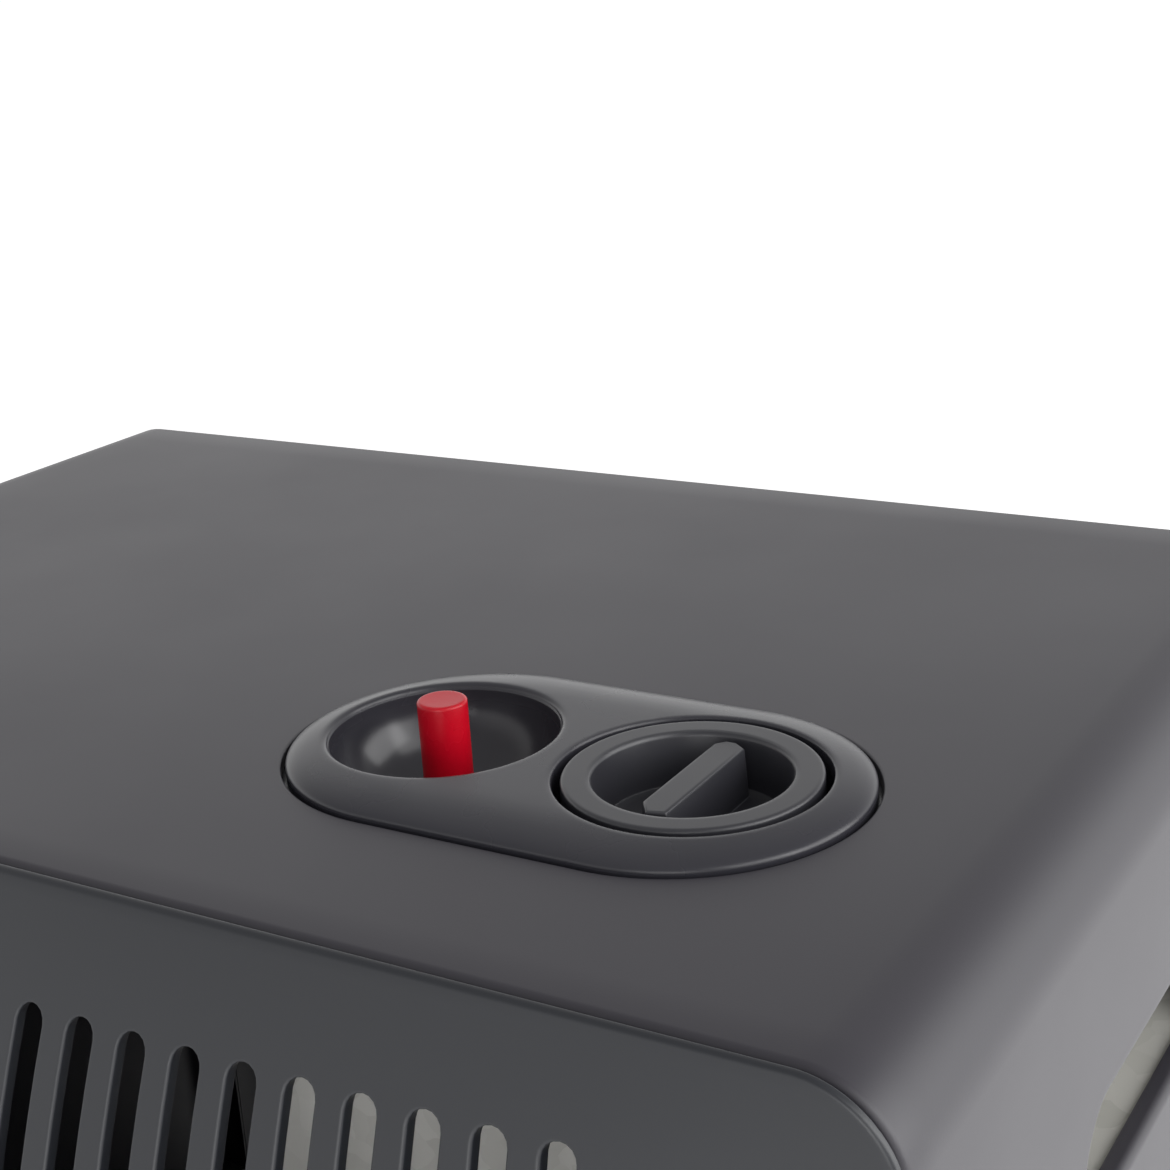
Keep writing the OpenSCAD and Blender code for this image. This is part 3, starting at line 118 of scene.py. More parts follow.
world = bpy.data.worlds.new("room")
world.use_nodes = True
room = world.node_tree
outlook = add_node(room, "ShaderNodeTexCoord").outputs["Generated"]
height = add_node(room, "ShaderNodeSeparateXYZ", {"Vector": outlook}).outputs["Z"]
wall = mapped(room, height, wall_low, wall_high, wall_bright, wall_fade)
mirrored = value_of(room, "ShaderNodeMix", {
    "Factor": ray_kind(room, "Is Glossy Ray", "Is Transmission Ray"), "A": room_level, "B": wall})
shown = value_of(room, "ShaderNodeMix", {"Factor": ray_kind(room, "Is Camera Ray"), "A": mirrored, "B": 1.0})
room.links.new(shown, room.nodes["Background"].inputs["Strength"])
room.nodes["Background"].inputs["Color"].default_value = (1, 1, 1, 1)
bpy.context.scene.world = world

for lamp_name, lamp_place, lamp_size, lamp_watts in lamps:
    lamp = place_object(lamp_name, bpy.data.lights.new(lamp_name, "AREA"))
    lamp.data.size = lamp_size
    lamp.data.energy = lamp_watts
    lamp.location = lamp_place
    lamp.rotation_euler = (lamp_target - lamp.location).to_track_quat("-Z", "Y").to_euler()

floor_mesh = bpy.data.meshes.new("floor")
floor_mesh.from_pydata([(-floor_half, -floor_half, 0), (floor_half, -floor_half, 0),
                        (floor_half, floor_half, 0), (-floor_half, floor_half, 0)], [], [(0, 1, 2, 3)])
floor = place_object("floor", floor_mesh)
floor_paint = bpy.data.materials.new("studio_floor")
floor_paint.use_nodes = True
floor_tree = floor_paint.node_tree
floor_shader = floor_tree.nodes["Principled BSDF"].inputs
for key, value in (("Base Color", floor_colour), ("Roughness", floor_rough), ("Specular IOR Level", 0),
                   ("Emission Color", (1, 1, 1, 1))):
    floor_shader[key].default_value = value
floor_seen = ray_kind(floor_tree, "Is Camera Ray", "Is Glossy Ray", "Is Transmission Ray")
floor_tree.links.new(maths(floor_tree, "MULTIPLY", floor_seen, floor_lift), floor_shader["Emission Strength"])
floor_mesh.materials.append(floor_paint)

# Casing: one folded sheet of 1.2 mm steel makes the top and both sides, powder coated
# in satin anthracite. Its front edge is folded in, and its back edge has a return flange.


def socket_group(name, tree_kind, inputs, outputs):
    tree = bpy.data.node_groups.new(name, tree_kind)
    for side, sockets in ("INPUT", inputs), ("OUTPUT", outputs):
        for key, kind in sockets:
            tree.interface.new_socket(key, in_out=side, socket_type="NodeSocket" + kind)
    return tree, tree.nodes.new("NodeGroupInput").outputs, tree.nodes.new("NodeGroupOutput").inputs


def put_out(tree, result, **values):
    for key, value in values.items():
        tree.links.new(value, result[key])
    return tree


def noise(tree, place, scale, detail, rough=0.5):
    return value_of(tree, "ShaderNodeTexNoise", {
        "Vector": place, "Scale": scale, "Detail": detail, "Roughness": rough})


def make_grain_group():
    tree, given, result = socket_group(
        "grain", "ShaderNodeTree", [("Place", "Vector"), ("Fine", "Float"), ("Broad", "Float")],
        [("Tone", "Float"), ("Height", "Float"), ("Speck", "Float")])
    peel = noise(tree, given["Place"], given["Fine"], 3, 0.6)
    cloud = noise(tree, given["Place"], given["Broad"], 4, 0.55)
    speck = noise(tree, given["Place"], maths(tree, "MULTIPLY", given["Fine"], 0.28), 1)
    return put_out(tree, result, Tone=cloud, Height=peel, Speck=mapped(tree, speck, 0.68, 0.78))


# Edge mask: where the bevel normal parts from the face normal, finishes lighten their colour there as a
# painted highlight; the bevel normal itself rounds the shading.
def make_edge_group():
    tree, given, result = socket_group("soft_edge", "ShaderNodeTree", [("Radius", "Float")],
                                       [("Normal", "Vector"), ("Worn", "Float")])
    rounded = value_of(tree, "ShaderNodeBevel", {"Radius": given["Radius"]}, samples=4)
    facing = add_node(tree, "ShaderNodeNewGeometry").outputs["Normal"]
    match = add_node(tree, "ShaderNodeVectorMath", {0: rounded, 1: facing}, operation="DOT_PRODUCT")
    return put_out(tree, result, Normal=rounded, Worn=mapped(tree, match.outputs["Value"], 0.97, 0.80))


grain_group = make_grain_group()
edge_group = make_edge_group()


def make_finish(name, effect, sizes, dark, light, gloss, depth, edge, specks=None,
                rubbed=None, polished_below=None, **plain):
    material = bpy.data.materials.new(name)
    material.use_nodes = True
    tree = material.node_tree
    shader = tree.nodes["Principled BSDF"].inputs
    for key, value in plain.items():
        shader[key.replace("_", " ")].default_value = value
    place = add_node(tree, "ShaderNodeTexCoord").outputs["Object"]
    pattern = add_node(tree, "ShaderNodeGroup", {"Place": place, **sizes}, node_tree=effect).outputs
    edges = add_node(tree, "ShaderNodeGroup", {"Radius": edge}, node_tree=edge_group).outputs
    colour = (*dark, 1)
    # Colour: random tone and specks, then a painted highlight mixed in along rounded edges.
    for mask, tint in (pattern["Tone"], light), (pattern.get("Speck"), specks), (edges["Worn"], rubbed):
        if tint:
            colour = value_of(tree, "ShaderNodeMix", {"Factor": mask, "A": colour, "B": (*tint, 1)},
                              data_type="RGBA")
    roughness = mapped(tree, pattern["Tone"], *gloss)
    if polished_below:
        level = add_node(tree, "ShaderNodeSeparateXYZ", {0: place}).outputs[2]
        textured = mapped(tree, level, polished_below - 0.002, polished_below, 0.7, 1)
        roughness = maths(tree, "MULTIPLY", roughness, textured)
    relief = value_of(tree, "ShaderNodeBump", {
        "Height": pattern["Height"], "Distance": depth, "Strength": 1.0, "Normal": edges["Normal"]})
    for key, value in (("Base Color", colour), ("Roughness", roughness), ("Normal", relief)):
        tree.links.new(value, shader[key])
    return material


def grained_finish(name, dark, light, rough, peel, fine=2200, broad=14, edge=0.0004, **more):
    return make_finish(name, grain_group, {"Fine": fine, "Broad": broad}, dark, light,
                       (0.3, 0.7, *rough), peel, edge, **more)


# Faces between neighbouring rings of points: a ring may touch the next in a shared point.
def join(mesh, rings):
    for near, far in zip(rings, rings[1:]):
        count = len(near)
        for k in range(count):
            corners = []
            for vertex in (near[k], near[(k + 1) % count], far[(k + 1) % count], far[k]):
                if vertex not in corners:
                    corners.append(vertex)
            if len(corners) > 2:
                mesh.faces.new(corners)


# Each mark is a place and the longest step allowed from there to the next mark.
def stepped(*marks):
    lines = [marks[0][0]]
    for (low, step), (high, _) in zip(marks, marks[1:]):
        count = max(1, ceil((high - low) / step - 1e-6))
        lines += [low + (high - low) * k / count for k in range(1, count + 1)]
    return lines


Opening = namedtuple("Opening", "u v half_u half_v radius margin section")


# A rim pressed inwards: how far each of its rings stands out from the hole, and how deep.
def rolled_rim(roll, lip, thick, steps=4):
    turns = [pi / 2 * k / steps for k in range(steps + 1)]
    section = [(roll * 1.3, 0)] + [(roll * (1 - sin(t)), roll * (1 - cos(t))) for t in turns]
    section += [(0, lip - burr), (burr, lip)]
    if lip > thick:
        section += [(thick - burr, lip), (thick, lip - burr), (thick, thick + burr)]
    return section


# Carries a point of the square frame round a hole onto the hole's rounded outline.
def onto_rim(a, b, reach_u, reach_v, hole, grow):
    half_u, half_v, radius = hole.half_u + grow, hole.half_v + grow, hole.radius + grow
    keep_u, keep_v = half_u - radius, half_v - radius
    side_u, side_v = copysign(1, a), copysign(1, b)
    a, b = abs(a), abs(b)
    run = (reach_u - keep_u) + (reach_v - keep_v)
    along = a - keep_u if reach_v - b < 1e-6 else (reach_u - keep_u) + (reach_v - b)
    if along <= 0:
        return hole.u + side_u * a, hole.v + side_v * half_v
    if along >= run:
        return hole.u + side_u * half_u, hole.v + side_v * b
    turn = pi / 2 * along / run
    return hole.u + side_u * (keep_u + radius * sin(turn)), hole.v + side_v * (keep_v + radius * cos(turn))


# A sheet of two skins over a grid of flat places, which form bends, with rimmed holes in it.
def pressed_sheet(mesh, form, u_lines, v_lines, holes, thick, edge):
    made = {}

    def point(i, j, depth):
        if (i, j, depth) not in made:
            made[i, j, depth] = mesh.verts.new(form(u_lines[i], v_lines[j], depth))
        return made[i, j, depth]

    def line_at(lines, value):
        return min(range(len(lines)), key=lambda k: abs(lines[k] - value))

    def frame_loop(i0, i1, j0, j1):
        return ([(i, j0) for i in range(i0, i1)] + [(i1, j) for j in range(j0, j1)]
                + [(i, j1) for i in range(i1, i0, -1)] + [(i0, j) for j in range(j1, j0, -1)])

    cut = set()
    for hole in holes:
        i0, i1 = (line_at(u_lines, hole.u + s * (hole.half_u + hole.margin)) for s in (-1, 1))
        j0, j1 = (line_at(v_lines, hole.v + s * (hole.half_v + hole.margin)) for s in (-1, 1))
        cut.update((i, j) for i in range(i0, i1) for j in range(j0, j1))
        loop = frame_loop(i0, i1, j0, j1)
        reach_u, reach_v = (u_lines[i1] - u_lines[i0]) / 2, (v_lines[j1] - v_lines[j0]) / 2
        rings = [[point(i, j, 0) for i, j in loop]]
        for grow, depth in hole.section:
            on_rim = [onto_rim(u_lines[i] - hole.u, v_lines[j] - hole.v, reach_u, reach_v, hole, grow)
                      for i, j in loop]
            rings.append([mesh.verts.new(form(u, v, depth)) for u, v in on_rim])
        rings.append([point(i, j, thick) for i, j in loop])
        join(mesh, rings)
    last_i, last_j = len(u_lines) - 1, len(v_lines) - 1
    for i in range(last_i):
        for j in range(last_j):
            if (i, j) not in cut:
                ring = [(i, j), (i + 1, j), (i + 1, j + 1), (i, j + 1)]
                mesh.faces.new([point(a, b, 0) for a, b in ring])
                mesh.faces.new([point(a, b, thick) for a, b in reversed(ring)])
    border = frame_loop(0, last_i, 0, last_j)

    def outward(i, j, out):
        u = u_lines[i] + (out if i == last_i else -out if i == 0 else 0)
        return u, v_lines[j] + (out if j == last_j else -out if j == 0 else 0)

    rings = [[point(i, j, 0) for i, j in border]]
    rings += [[mesh.verts.new(form(*outward(i, j, out), depth)) for i, j in border] for out, depth in edge]
    rings.append([point(i, j, thick) for i, j in border])
    join(mesh, rings[::-1])


def add_slab(mesh, low, high, edge=0.0003):
    slab = bmesh.ops.create_cube(mesh, size=1)["verts"]
    for vertex in slab:
        vertex.co = [low[k] if vertex.co[k] < 0 else high[k] for k in range(3)]
    around = list(dict.fromkeys(line for vertex in slab for line in vertex.link_edges))
    bmesh.ops.bevel(mesh, geom=around, offset=edge, segments=2, affect="EDGES", clamp_overlap=True)


def new_piece(name, mesh, material, body, replaced, sharp=40, closed=True):
    if closed:
        bmesh.ops.recalc_face_normals(mesh, faces=mesh.faces)
    data = bpy.data.meshes.new(name)
    mesh.to_mesh(data)
    mesh.free()
    data.materials.append(material)
    data.shade_smooth()
    data.set_sharp_from_angle(angle=radians(sharp))
    piece = place_object(name, data)
    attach(piece, body)
    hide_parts(replaced)
    return piece


casing_low, casing_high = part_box("cabinet_shell")
half_width, top, skirt = casing_high.x, casing_high.z, casing_low.z
seam_y, back_y = casing_low.y, casing_high.y
knob_low, knob_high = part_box("control_knob")
knob_x, control_y = (knob_low.x + knob_high.x) / 2, (knob_low.y + knob_high.y) / 2
grip_low, grip_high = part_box("grip_plates")
grip_y = (grip_low.y + grip_high.y) / 2
sheet, burr = 0.0012, 0.0002
bend_r, fold_r, back_fold_r = 0.019, 0.002, 0.0018
front_hem, back_flange = 0.0012, 0.0100
bezel_half, bezel_r, bezel_gap = 0.026, 0.0393, 0.001
knob_off = 0.0284
bezel_x = knob_x - knob_off
bezel_cut_roll, bezel_cut_lip = 0.0005, 0.0028
grip_half_h, grip_half_l, grip_drop, grip_lip, grip_roll = 0.013, 0.050, 0.0745, 0.005, 0.0022
rim_margin = 0.004
flat_half = half_width - bend_r
bend_run = bend_r * pi / 2
front_run = seam_y + fold_r
back_run = back_y - back_fold_r
front_turn, back_turn = fold_r * pi / 2, back_fold_r * pi / 2


def folded(v, depth):
    if v < front_run:
        centre, radius, out, run = front_run, fold_r, -1, front_run - v
    elif v > back_run:
        centre, radius, out, run = back_run, back_fold_r, 1, v - back_run
    else:
        return v, depth
    turn = min(run / radius, pi / 2)
    past = max(run - radius * pi / 2, 0)
    return centre + out * (radius - depth) * sin(turn), radius - (radius - depth) * cos(turn) + past


def casing_form(u, v, depth):
    y, inset = folded(v, depth)
    side, run = copysign(1, u), abs(u)
    if run <= flat_half:
        return side * run, y, top - inset
    turn = min((run - flat_half) / bend_r, pi / 2)
    past = max(run - flat_half - bend_run, 0)
    reach = bend_r - inset
    return side * (flat_half + reach * sin(turn)), y, top - bend_r + reach * cos(turn) - past


# The casing's paint gets a painted highlight along its edges.
casing_paint = grained_finish("casing_paint", (0.0235, 0.0215, 0.0285), (0.0270, 0.0250, 0.0320),
                              (0.41, 0.445), 0.000012, rubbed=(0.050, 0.049, 0.056))
bend_end = flat_half + bend_run
side_u = bend_end + (top - bend_r) - (top - grip_drop)
bezel_reach_v = bezel_r + bezel_gap + rim_margin
bezel_reach_u = bezel_half + bezel_reach_v
grip_reach_h, grip_reach_l = grip_half_h + 2 * rim_margin, grip_half_l + 2 * rim_margin
side_marks = [(flat_half, 0.0022), (bend_end, 0.012), (side_u - grip_reach_h, 0.003),
              (side_u + grip_reach_h, 0.030), (bend_end + top - bend_r - skirt, 0)]
left_u = stepped((0, 0.012), *side_marks)
right_u = stepped((0, 0.012), (bezel_x - bezel_reach_u, 0.0035), (bezel_x + bezel_reach_u, 0.012),
                  *side_marks)
v_lines = stepped(
    (front_run - front_turn - front_hem, front_hem), (front_run - front_turn, front_turn / 5),
    (front_run, 0.012), (control_y - bezel_reach_v, 0.0035), (grip_y - grip_reach_l, 0.0035),
    (control_y + bezel_reach_v, 0.004), (grip_y + grip_reach_l, 0.014), (back_run, back_turn / 4),
    (back_run + back_turn, 0.004), (back_run + back_turn + back_flange, 0))
casing_holes = [Opening(bezel_x, control_y, bezel_half + bezel_r + bezel_gap, bezel_r + bezel_gap,
                        bezel_r + bezel_gap, rim_margin, rolled_rim(bezel_cut_roll, bezel_cut_lip, sheet))]
for side in (-1, 1):
    casing_holes.append(Opening(side * side_u, grip_y, grip_half_h, grip_half_l, grip_half_h,
                                2 * rim_margin, rolled_rim(grip_roll, grip_lip, sheet, 5)))
sheet_edge = [(burr, burr), (burr, sheet - burr)]
casing_mesh = bmesh.new()
pressed_sheet(casing_mesh, casing_form, [-u for u in reversed(left_u[1:])] + right_u, v_lines, casing_holes,
              sheet, sheet_edge)
strip_low, strip_high, strip_half = top - 0.0292, top - 0.008, 0.1985
strip_y = back_y - sheet - 0.00005
add_slab(casing_mesh, (-strip_half, strip_y - sheet, strip_low), (strip_half, strip_y, strip_high))
new_piece("casing", casing_mesh, casing_paint, "casing", "cabinet_shell")

# Front: one pressed sheet of 1.6 mm steel, bowed like a pillow, with two rows of air slots
# and a window with a deep lip. Its coat is a cooler copy of the casing's, darkened as painted shade, and it
# hooks into the casing.
bulge, bulge_run, bulge_power = 0.045, 0.160, 2.5
tuck, tuck_run = 0.35, 0.100
front_sheet, seam_gap = 0.0016, 0.0008
front_face_y = seam_y - seam_gap - front_sheet
slot_count, slot_pitch = 25, 0.0127
slot_half_w, slot_roll, slot_lip = 0.0032, 0.0007, 0.0030
upper_slot_drop, upper_slot_l = 0.0205, 0.070
lower_slot_z, lower_slot_l = 0.110, 0.044
window_drop, window_half_w, window_half_h, window_r = 0.260, 0.165, 0.120, 0.022
window_roll, window_lip = 0.0014, 0.015
window_z = top - window_drop
edge_roll = 0.0009
corner_patch = 0.040


def face_y(x, z):
    below = max(top - z, 0)
    swell = bulge * (1 - (1 - below / bulge_run) ** 2) if below < bulge_run else bulge
    rise = (z - skirt) / tuck_run
    drawn_in = 1 - tuck * (1 - max(rise, 0)) ** 2 if rise < 1 else 1
    across = 1 - min(abs(x) / half_width, 1) ** bulge_power
    return front_face_y - swell * drawn_in * across


def rounded_corner(u, v):
    a, b = abs(u) - (half_width - corner_patch), v - (top - corner_patch)
    if a <= 0 or b <= 0:
        return u, v
    reach = max(a, b)
    radius = bend_r * min(reach / corner_patch, 1) ** 2
    keep = reach - radius
    along = a - keep if b >= a else radius + reach - b
    if along <= 0 or along >= 2 * radius:
        return u, v
    turn = pi / 4 * along / radius
    a, b = keep + radius * sin(turn), keep + radius * cos(turn)
    return copysign(half_width - corner_patch + a, u), top - corner_patch + b


def front_form(u, v, depth):
    x, z = rounded_corner(u, v)
    return x, face_y(x, z) + depth, z


# Painted shade: this paint is a darker copy of the casing's, and its slot rims and edges get a painted
# highlight.
front_shaded_paint = grained_finish("fascia_paint", (0.0128, 0.0142, 0.0182), (0.0150, 0.0166, 0.0210),
                             (0.36, 0.40), 0.000012, rubbed=(0.060, 0.063, 0.072))
front_step = slot_pitch / 6
slot_margin = 2 * front_step - slot_half_w
column_reach = half_width - edge_roll
column_count = int(column_reach / front_step)
columns = [k * front_step for k in range(-column_count, column_count + 1)]
columns = [-column_reach] + columns + [column_reach]
window_columns = 80
window_reach = window_columns * front_step - window_half_w
window_low, window_high = window_z - window_half_h, window_z + window_half_h
upper_slot_z = top - upper_slot_drop - upper_slot_l


def slot_row_marks(low, length, next_step):
    high = low + length
    return [(low - slot_margin, front_step), (low + slot_half_w, 0.008),
            (high - slot_half_w, front_step), (high + slot_margin, next_step)]


rows = stepped(
    (skirt + edge_roll, 0.006), *slot_row_marks(lower_slot_z, lower_slot_l, 0.014),
    (window_low - window_reach, 0.003), (window_low + window_r, 0.014), (window_high - window_r, 0.003),
    (window_high + window_reach, 0.008), *slot_row_marks(upper_slot_z, upper_slot_l, 0.0021),
    (top - edge_roll, 0))
slot_rim = rolled_rim(slot_roll, slot_lip, front_sheet)
front_holes = [Opening(0, window_z, window_half_w, window_half_h, window_r, window_reach,
                       rolled_rim(window_roll, window_lip, front_sheet))]
for k in range(slot_count):
    slot_x = (k - (slot_count - 1) / 2) * slot_pitch
    for low, length in ((upper_slot_z, upper_slot_l), (lower_slot_z, lower_slot_l)):
        front_holes.append(Opening(slot_x, low + length / 2, slot_half_w, length / 2, slot_half_w,
                                   slot_margin, slot_rim))
front_edge = [(edge_roll * sin(t), edge_roll * (1 - cos(t))) for t in (pi / 8, pi / 4, 3 * pi / 8, pi / 2)]
front_edge += [(edge_roll, front_sheet - burr), (edge_roll - burr, front_sheet)]
front_mesh = bmesh.new()
pressed_sheet(front_mesh, front_form, columns, rows, front_holes, front_sheet, front_edge)


def flange_ring(inset, y):
    radius, side, low = bend_r - inset, half_width - inset, skirt + inset
    turns = [pi / 2 * k / 8 for k in range(9)]
    bend = [(half_width - bend_r + radius * cos(t), top - bend_r + radius * sin(t)) for t in turns]
    outline = [(side, low)] + bend + [(-x, z) for x, z in reversed(bend)] + [(-side, low)]
    return [front_mesh.verts.new((x, y, z)) for x, z in outline]


flange_out, flange_run = 0.0036, 0.014
flange_in, flange_end = flange_out + front_sheet, seam_y + flange_run
flange_y = front_face_y + front_sheet / 2
rings = [flange_ring(inset, y) for inset, y in (
    (flange_out, flange_y), (flange_out, flange_end), (flange_in, flange_end), (flange_in, flange_y))]
join(front_mesh, rings + rings[:1])
new_piece("front", front_mesh, front_shaded_paint, "casing", "front_fascia")

# Bezel: one moulding in black glass-filled nylon, let into the top from below, with a round
# bowl for the igniter button and a deep well for the knob.


def circle(centre, radius, sides=96):
    return [(centre[0] + radius * cos(2 * pi * k / sides), centre[1] + radius * sin(2 * pi * k / sides))
            for k in range(sides)]


def fillet(radius, wide, deep, degrees):
    return [(radius + wide * (1 - sin(radians(t))), crown - deep * (1 - cos(radians(t)))) for t in degrees]


button_low, button_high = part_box("igniter_button")
crown = knob_high.z
bowl_centre = ((button_low.x + button_high.x) / 2, control_y)
knob_centre = (knob_x, control_y)
bezel_edge, bezel_shoulder, bezel_lip, bezel_lip_t = 0.0004, 0.014, 0.005, 0.0015
bezel_rise = crown - top - bezel_edge
bezel_low = top - sheet - bezel_lip_t
bowl_r, bowl_fillet, bowl_foot, bowl_hole, bowl_depth = 0.0254, 0.0013, 0.009, 0.0063, 0.019
bowl_floor = crown - bowl_depth
well_r, well_fillet, well_round, stem_r, well_depth = 0.0285, 0.0007, 0.001, 0.0080, 0.0255
well_floor = top - well_depth
moulding_wall = 0.001
# The bezel's nylon gets a painted highlight along its edges.
nylon = grained_finish("black_plastic", (0.0235, 0.0230, 0.0290), (0.0270, 0.0265, 0.0330),
                       (0.25, 0.30), 0.000006, fine=3400, broad=30, rubbed=(0.050, 0.051, 0.058),
                       edge=0.0005, polished_below=top, Specular_IOR_Level=0.42)


def crown_height(x, y):
    along = min(max(x - bezel_x, -bezel_half), bezel_half)
    share = (bezel_r - hypot(x - bezel_x - along, y - control_y)) / bezel_shoulder
    share = min(max(share, 0), 1)
    return top + bezel_edge + bezel_rise * sqrt(1 - (1 - share) ** 2)


def bezel_outline(radius, sides=56, straight=14):
    points = []
    for side in (1, -1):
        for k in range(sides + 1):
            turn = -pi / 2 + pi * k / sides + (0 if side > 0 else pi)
            points.append((bezel_x + side * bezel_half + radius * cos(turn),
                           control_y + radius * sin(turn)))
        for k in range(1, straight):
            points.append((bezel_x + side * bezel_half * (1 - 2 * k / straight), control_y + side * radius))
    return points


mouths = [(bowl_centre, bowl_r + bowl_fillet), (knob_centre, well_r + well_fillet)]
rims = [bezel_outline(bezel_r)] + [circle(centre, radius) for centre, radius in mouths]
loose = []
for turn in (5, 10, 16, 24, 34, 46, 60, 75, 90):
    loose += bezel_outline(bezel_r - bezel_shoulder * (1 - cos(radians(turn))))
for radius in (0.021, 0.016, 0.011, 0.006, 0.001):
    loose += bezel_outline(radius, 12)
mouth_band, kept_clear = 0.0009, 0.0004
for centre, radius in mouths:
    loose += circle(centre, radius + mouth_band)
outside = [point for point in loose
           if all(dist(point, centre) > radius + kept_clear for centre, radius in mouths)]
flat_points, bounds, rim_marks = [], [], []
for rim in rims:
    marks = range(len(flat_points), len(flat_points) + len(rim))
    flat_points += rim
    bounds += zip(marks, [*marks[1:], marks[0]])
    rim_marks.append(marks)
spread, _, patches, sources, _, _ = delaunay_2d_cdt(
    [Vector(point) for point in flat_points + outside], bounds, [], 0, 1e-7)
bezel_mesh = bmesh.new()
cap = [bezel_mesh.verts.new((x, y, crown_height(x, y))) for x, y in spread]
found = {mark: cap[k] for k, marks in enumerate(sources) for mark in marks}
for patch in patches:
    middle = [sum(spread[k][axis] for k in patch) / len(patch) for axis in (0, 1)]
    if all(dist(middle, centre) > radius for centre, radius in mouths):
        bezel_mesh.faces.new([cap[k] for k in patch])
bezel_rim, bowl_mouth, well_mouth = ([found[mark] for mark in marks] for marks in rim_marks)
walls = [[bezel_mesh.verts.new((x, y, bezel_low)) for x, y in bezel_outline(bezel_r + out)]
         for out in (bezel_lip, 0)]
join(bezel_mesh, walls + [bezel_rim])


# Rings below a mouth: the first few still follow the bezel's crown, and the rest lie level.
def sink(mesh, centre, mouth, profile):
    settle = 8
    rings = [mouth]
    for level, (radius, z) in enumerate(profile):
        share = max(0, 1 - level / settle)
        rings.append([mesh.verts.new((x, y, z + share * (rim.co.z - crown)))
                      for (x, y), rim in zip(circle(centre, radius, len(mouth)), mouth)])
    join(mesh, rings)


bowl_drop, bowl_steps, bowl_round, bowl_lean = 0.0010, 18, 0.55, 1.15
bowl = fillet(bowl_r, bowl_fillet, bowl_drop, (18, 36, 54, 72, 90))
for k in range(bowl_steps, -1, -1):
    rise = k / bowl_steps
    bowl.append((bowl_foot + (bowl_r - 0.0003 - bowl_foot) * sin(pi / 2 * rise) ** bowl_round,
                 bowl_floor + (crown - bowl_fillet - bowl_floor) * rise ** bowl_lean))
bowl += [(bowl_hole, bowl_floor), (bowl_hole, bowl_floor - 0.002)]
sink(bezel_mesh, bowl_centre, bowl_mouth, bowl)
well = fillet(well_r, well_fillet, well_fillet, (30, 60, 90))
well += [(well_r, well_floor + well_round), (well_r - well_round, well_floor),
         (stem_r + 0.0005, well_floor), (stem_r, well_floor - 0.001)]
sink(bezel_mesh, knob_centre, well_mouth, well)
for vertex in [vertex for vertex in bezel_mesh.verts if not vertex.link_faces]:
    bezel_mesh.verts.remove(vertex)
bezel = new_piece("bezel", bezel_mesh, nylon, "casing", "control_bezel", 30, closed=False)
bezel_wall = bezel.modifiers.new("wall", "SOLIDIFY")
bezel_wall.thickness = moulding_wall
bezel_wall.offset = -1

# Knob: a black moulding on the tap's spindle, pressed and turned to light the heater.
# Its rim lies level with the bezel, and a finger bar stands in its round recess.


def lathe(mesh, centre, profile, sides=96):
    rings = []
    for radius, z in profile:
        if radius < 1e-6:
            rings.append([mesh.verts.new((*centre, z))] * sides)
        else:
            rings.append([mesh.verts.new((x, y, z)) for x, y in circle(centre, radius, sides)])
    join(mesh, rings)


def rounded_edge(radius, z, roll, steps=5):
    turns = [pi / 2 * k / steps for k in range(steps, -1, -1)]
    return [(radius - roll * (1 - sin(t)), z - roll * (1 - cos(t))) for t in turns]


def join_solid(mesh, rings):
    join(mesh, rings)
    mesh.faces.new(rings[0][::-1])
    mesh.faces.new(rings[-1])


knob_r = (knob_high.x - knob_low.x) / 2
knob_wall, knob_floor, knob_skirt, rim_round = 0.0022, 0.0028, 0.0200, 0.0008
recess_r, recess_round, recess_depth = 0.0204, 0.0010, 0.012
bar_half_w, bar_half_l, bar_drop = 0.0035, 0.0185, 0.0008
recess_z, bar_top = crown - recess_depth, crown - bar_drop
# The knob's nylon gets a painted highlight along its edges, the finger bar's top among them.
knob_nylon = grained_finish("knob_plastic", (0.0215, 0.0215, 0.0265), (0.0250, 0.0250, 0.0300),
                            (0.30, 0.36), 0.000005, fine=3400, broad=40, rubbed=(0.060, 0.062, 0.070))
knob_mesh = bmesh.new()
lathe(knob_mesh, knob_centre, [
    (0, recess_z - knob_floor), (knob_r - knob_wall, recess_z - knob_floor),
    (knob_r - knob_wall, crown - knob_skirt), (knob_r, crown - knob_skirt),
    *rounded_edge(knob_r, crown, rim_round, 4),
    (knob_r - rim_round - 0.0004, crown), (recess_r + 0.0016, crown),
    *fillet(recess_r, recess_round, recess_round, (0, 30, 60, 90)),
    (recess_r - 0.0008, recess_z + 0.0025), (recess_r - 0.0014, recess_z + 0.0008),
    (recess_r - 0.0032, recess_z), (0, recess_z)])
bar_outline = [(-bar_half_w, bar_half_l - 0.002), (-bar_half_w, 0.004 - bar_half_l), (-0.0006, -bar_half_l),
               (bar_half_w, 0.001 - bar_half_l), (bar_half_w, bar_half_l - 0.002), (0.0006, bar_half_l),
               (-bar_half_w / 2, bar_half_l)]
bar_levels = [(0.0004, recess_z - 0.001), (0.0004, recess_z + 0.001), (0, bar_top - 0.0005),
              (-0.0002, bar_top - 0.00015), (-0.0006, bar_top), (-0.0008, bar_top)]
join_solid(knob_mesh, [[knob_mesh.verts.new((knob_x + x * (1 + grow / bar_half_w),
                                             control_y + y * (1 + grow / bar_half_l), z))
                        for x, y in bar_outline] for grow, z in bar_levels])
new_piece("knob", knob_mesh, knob_nylon, "knob", "control_knob", 30)

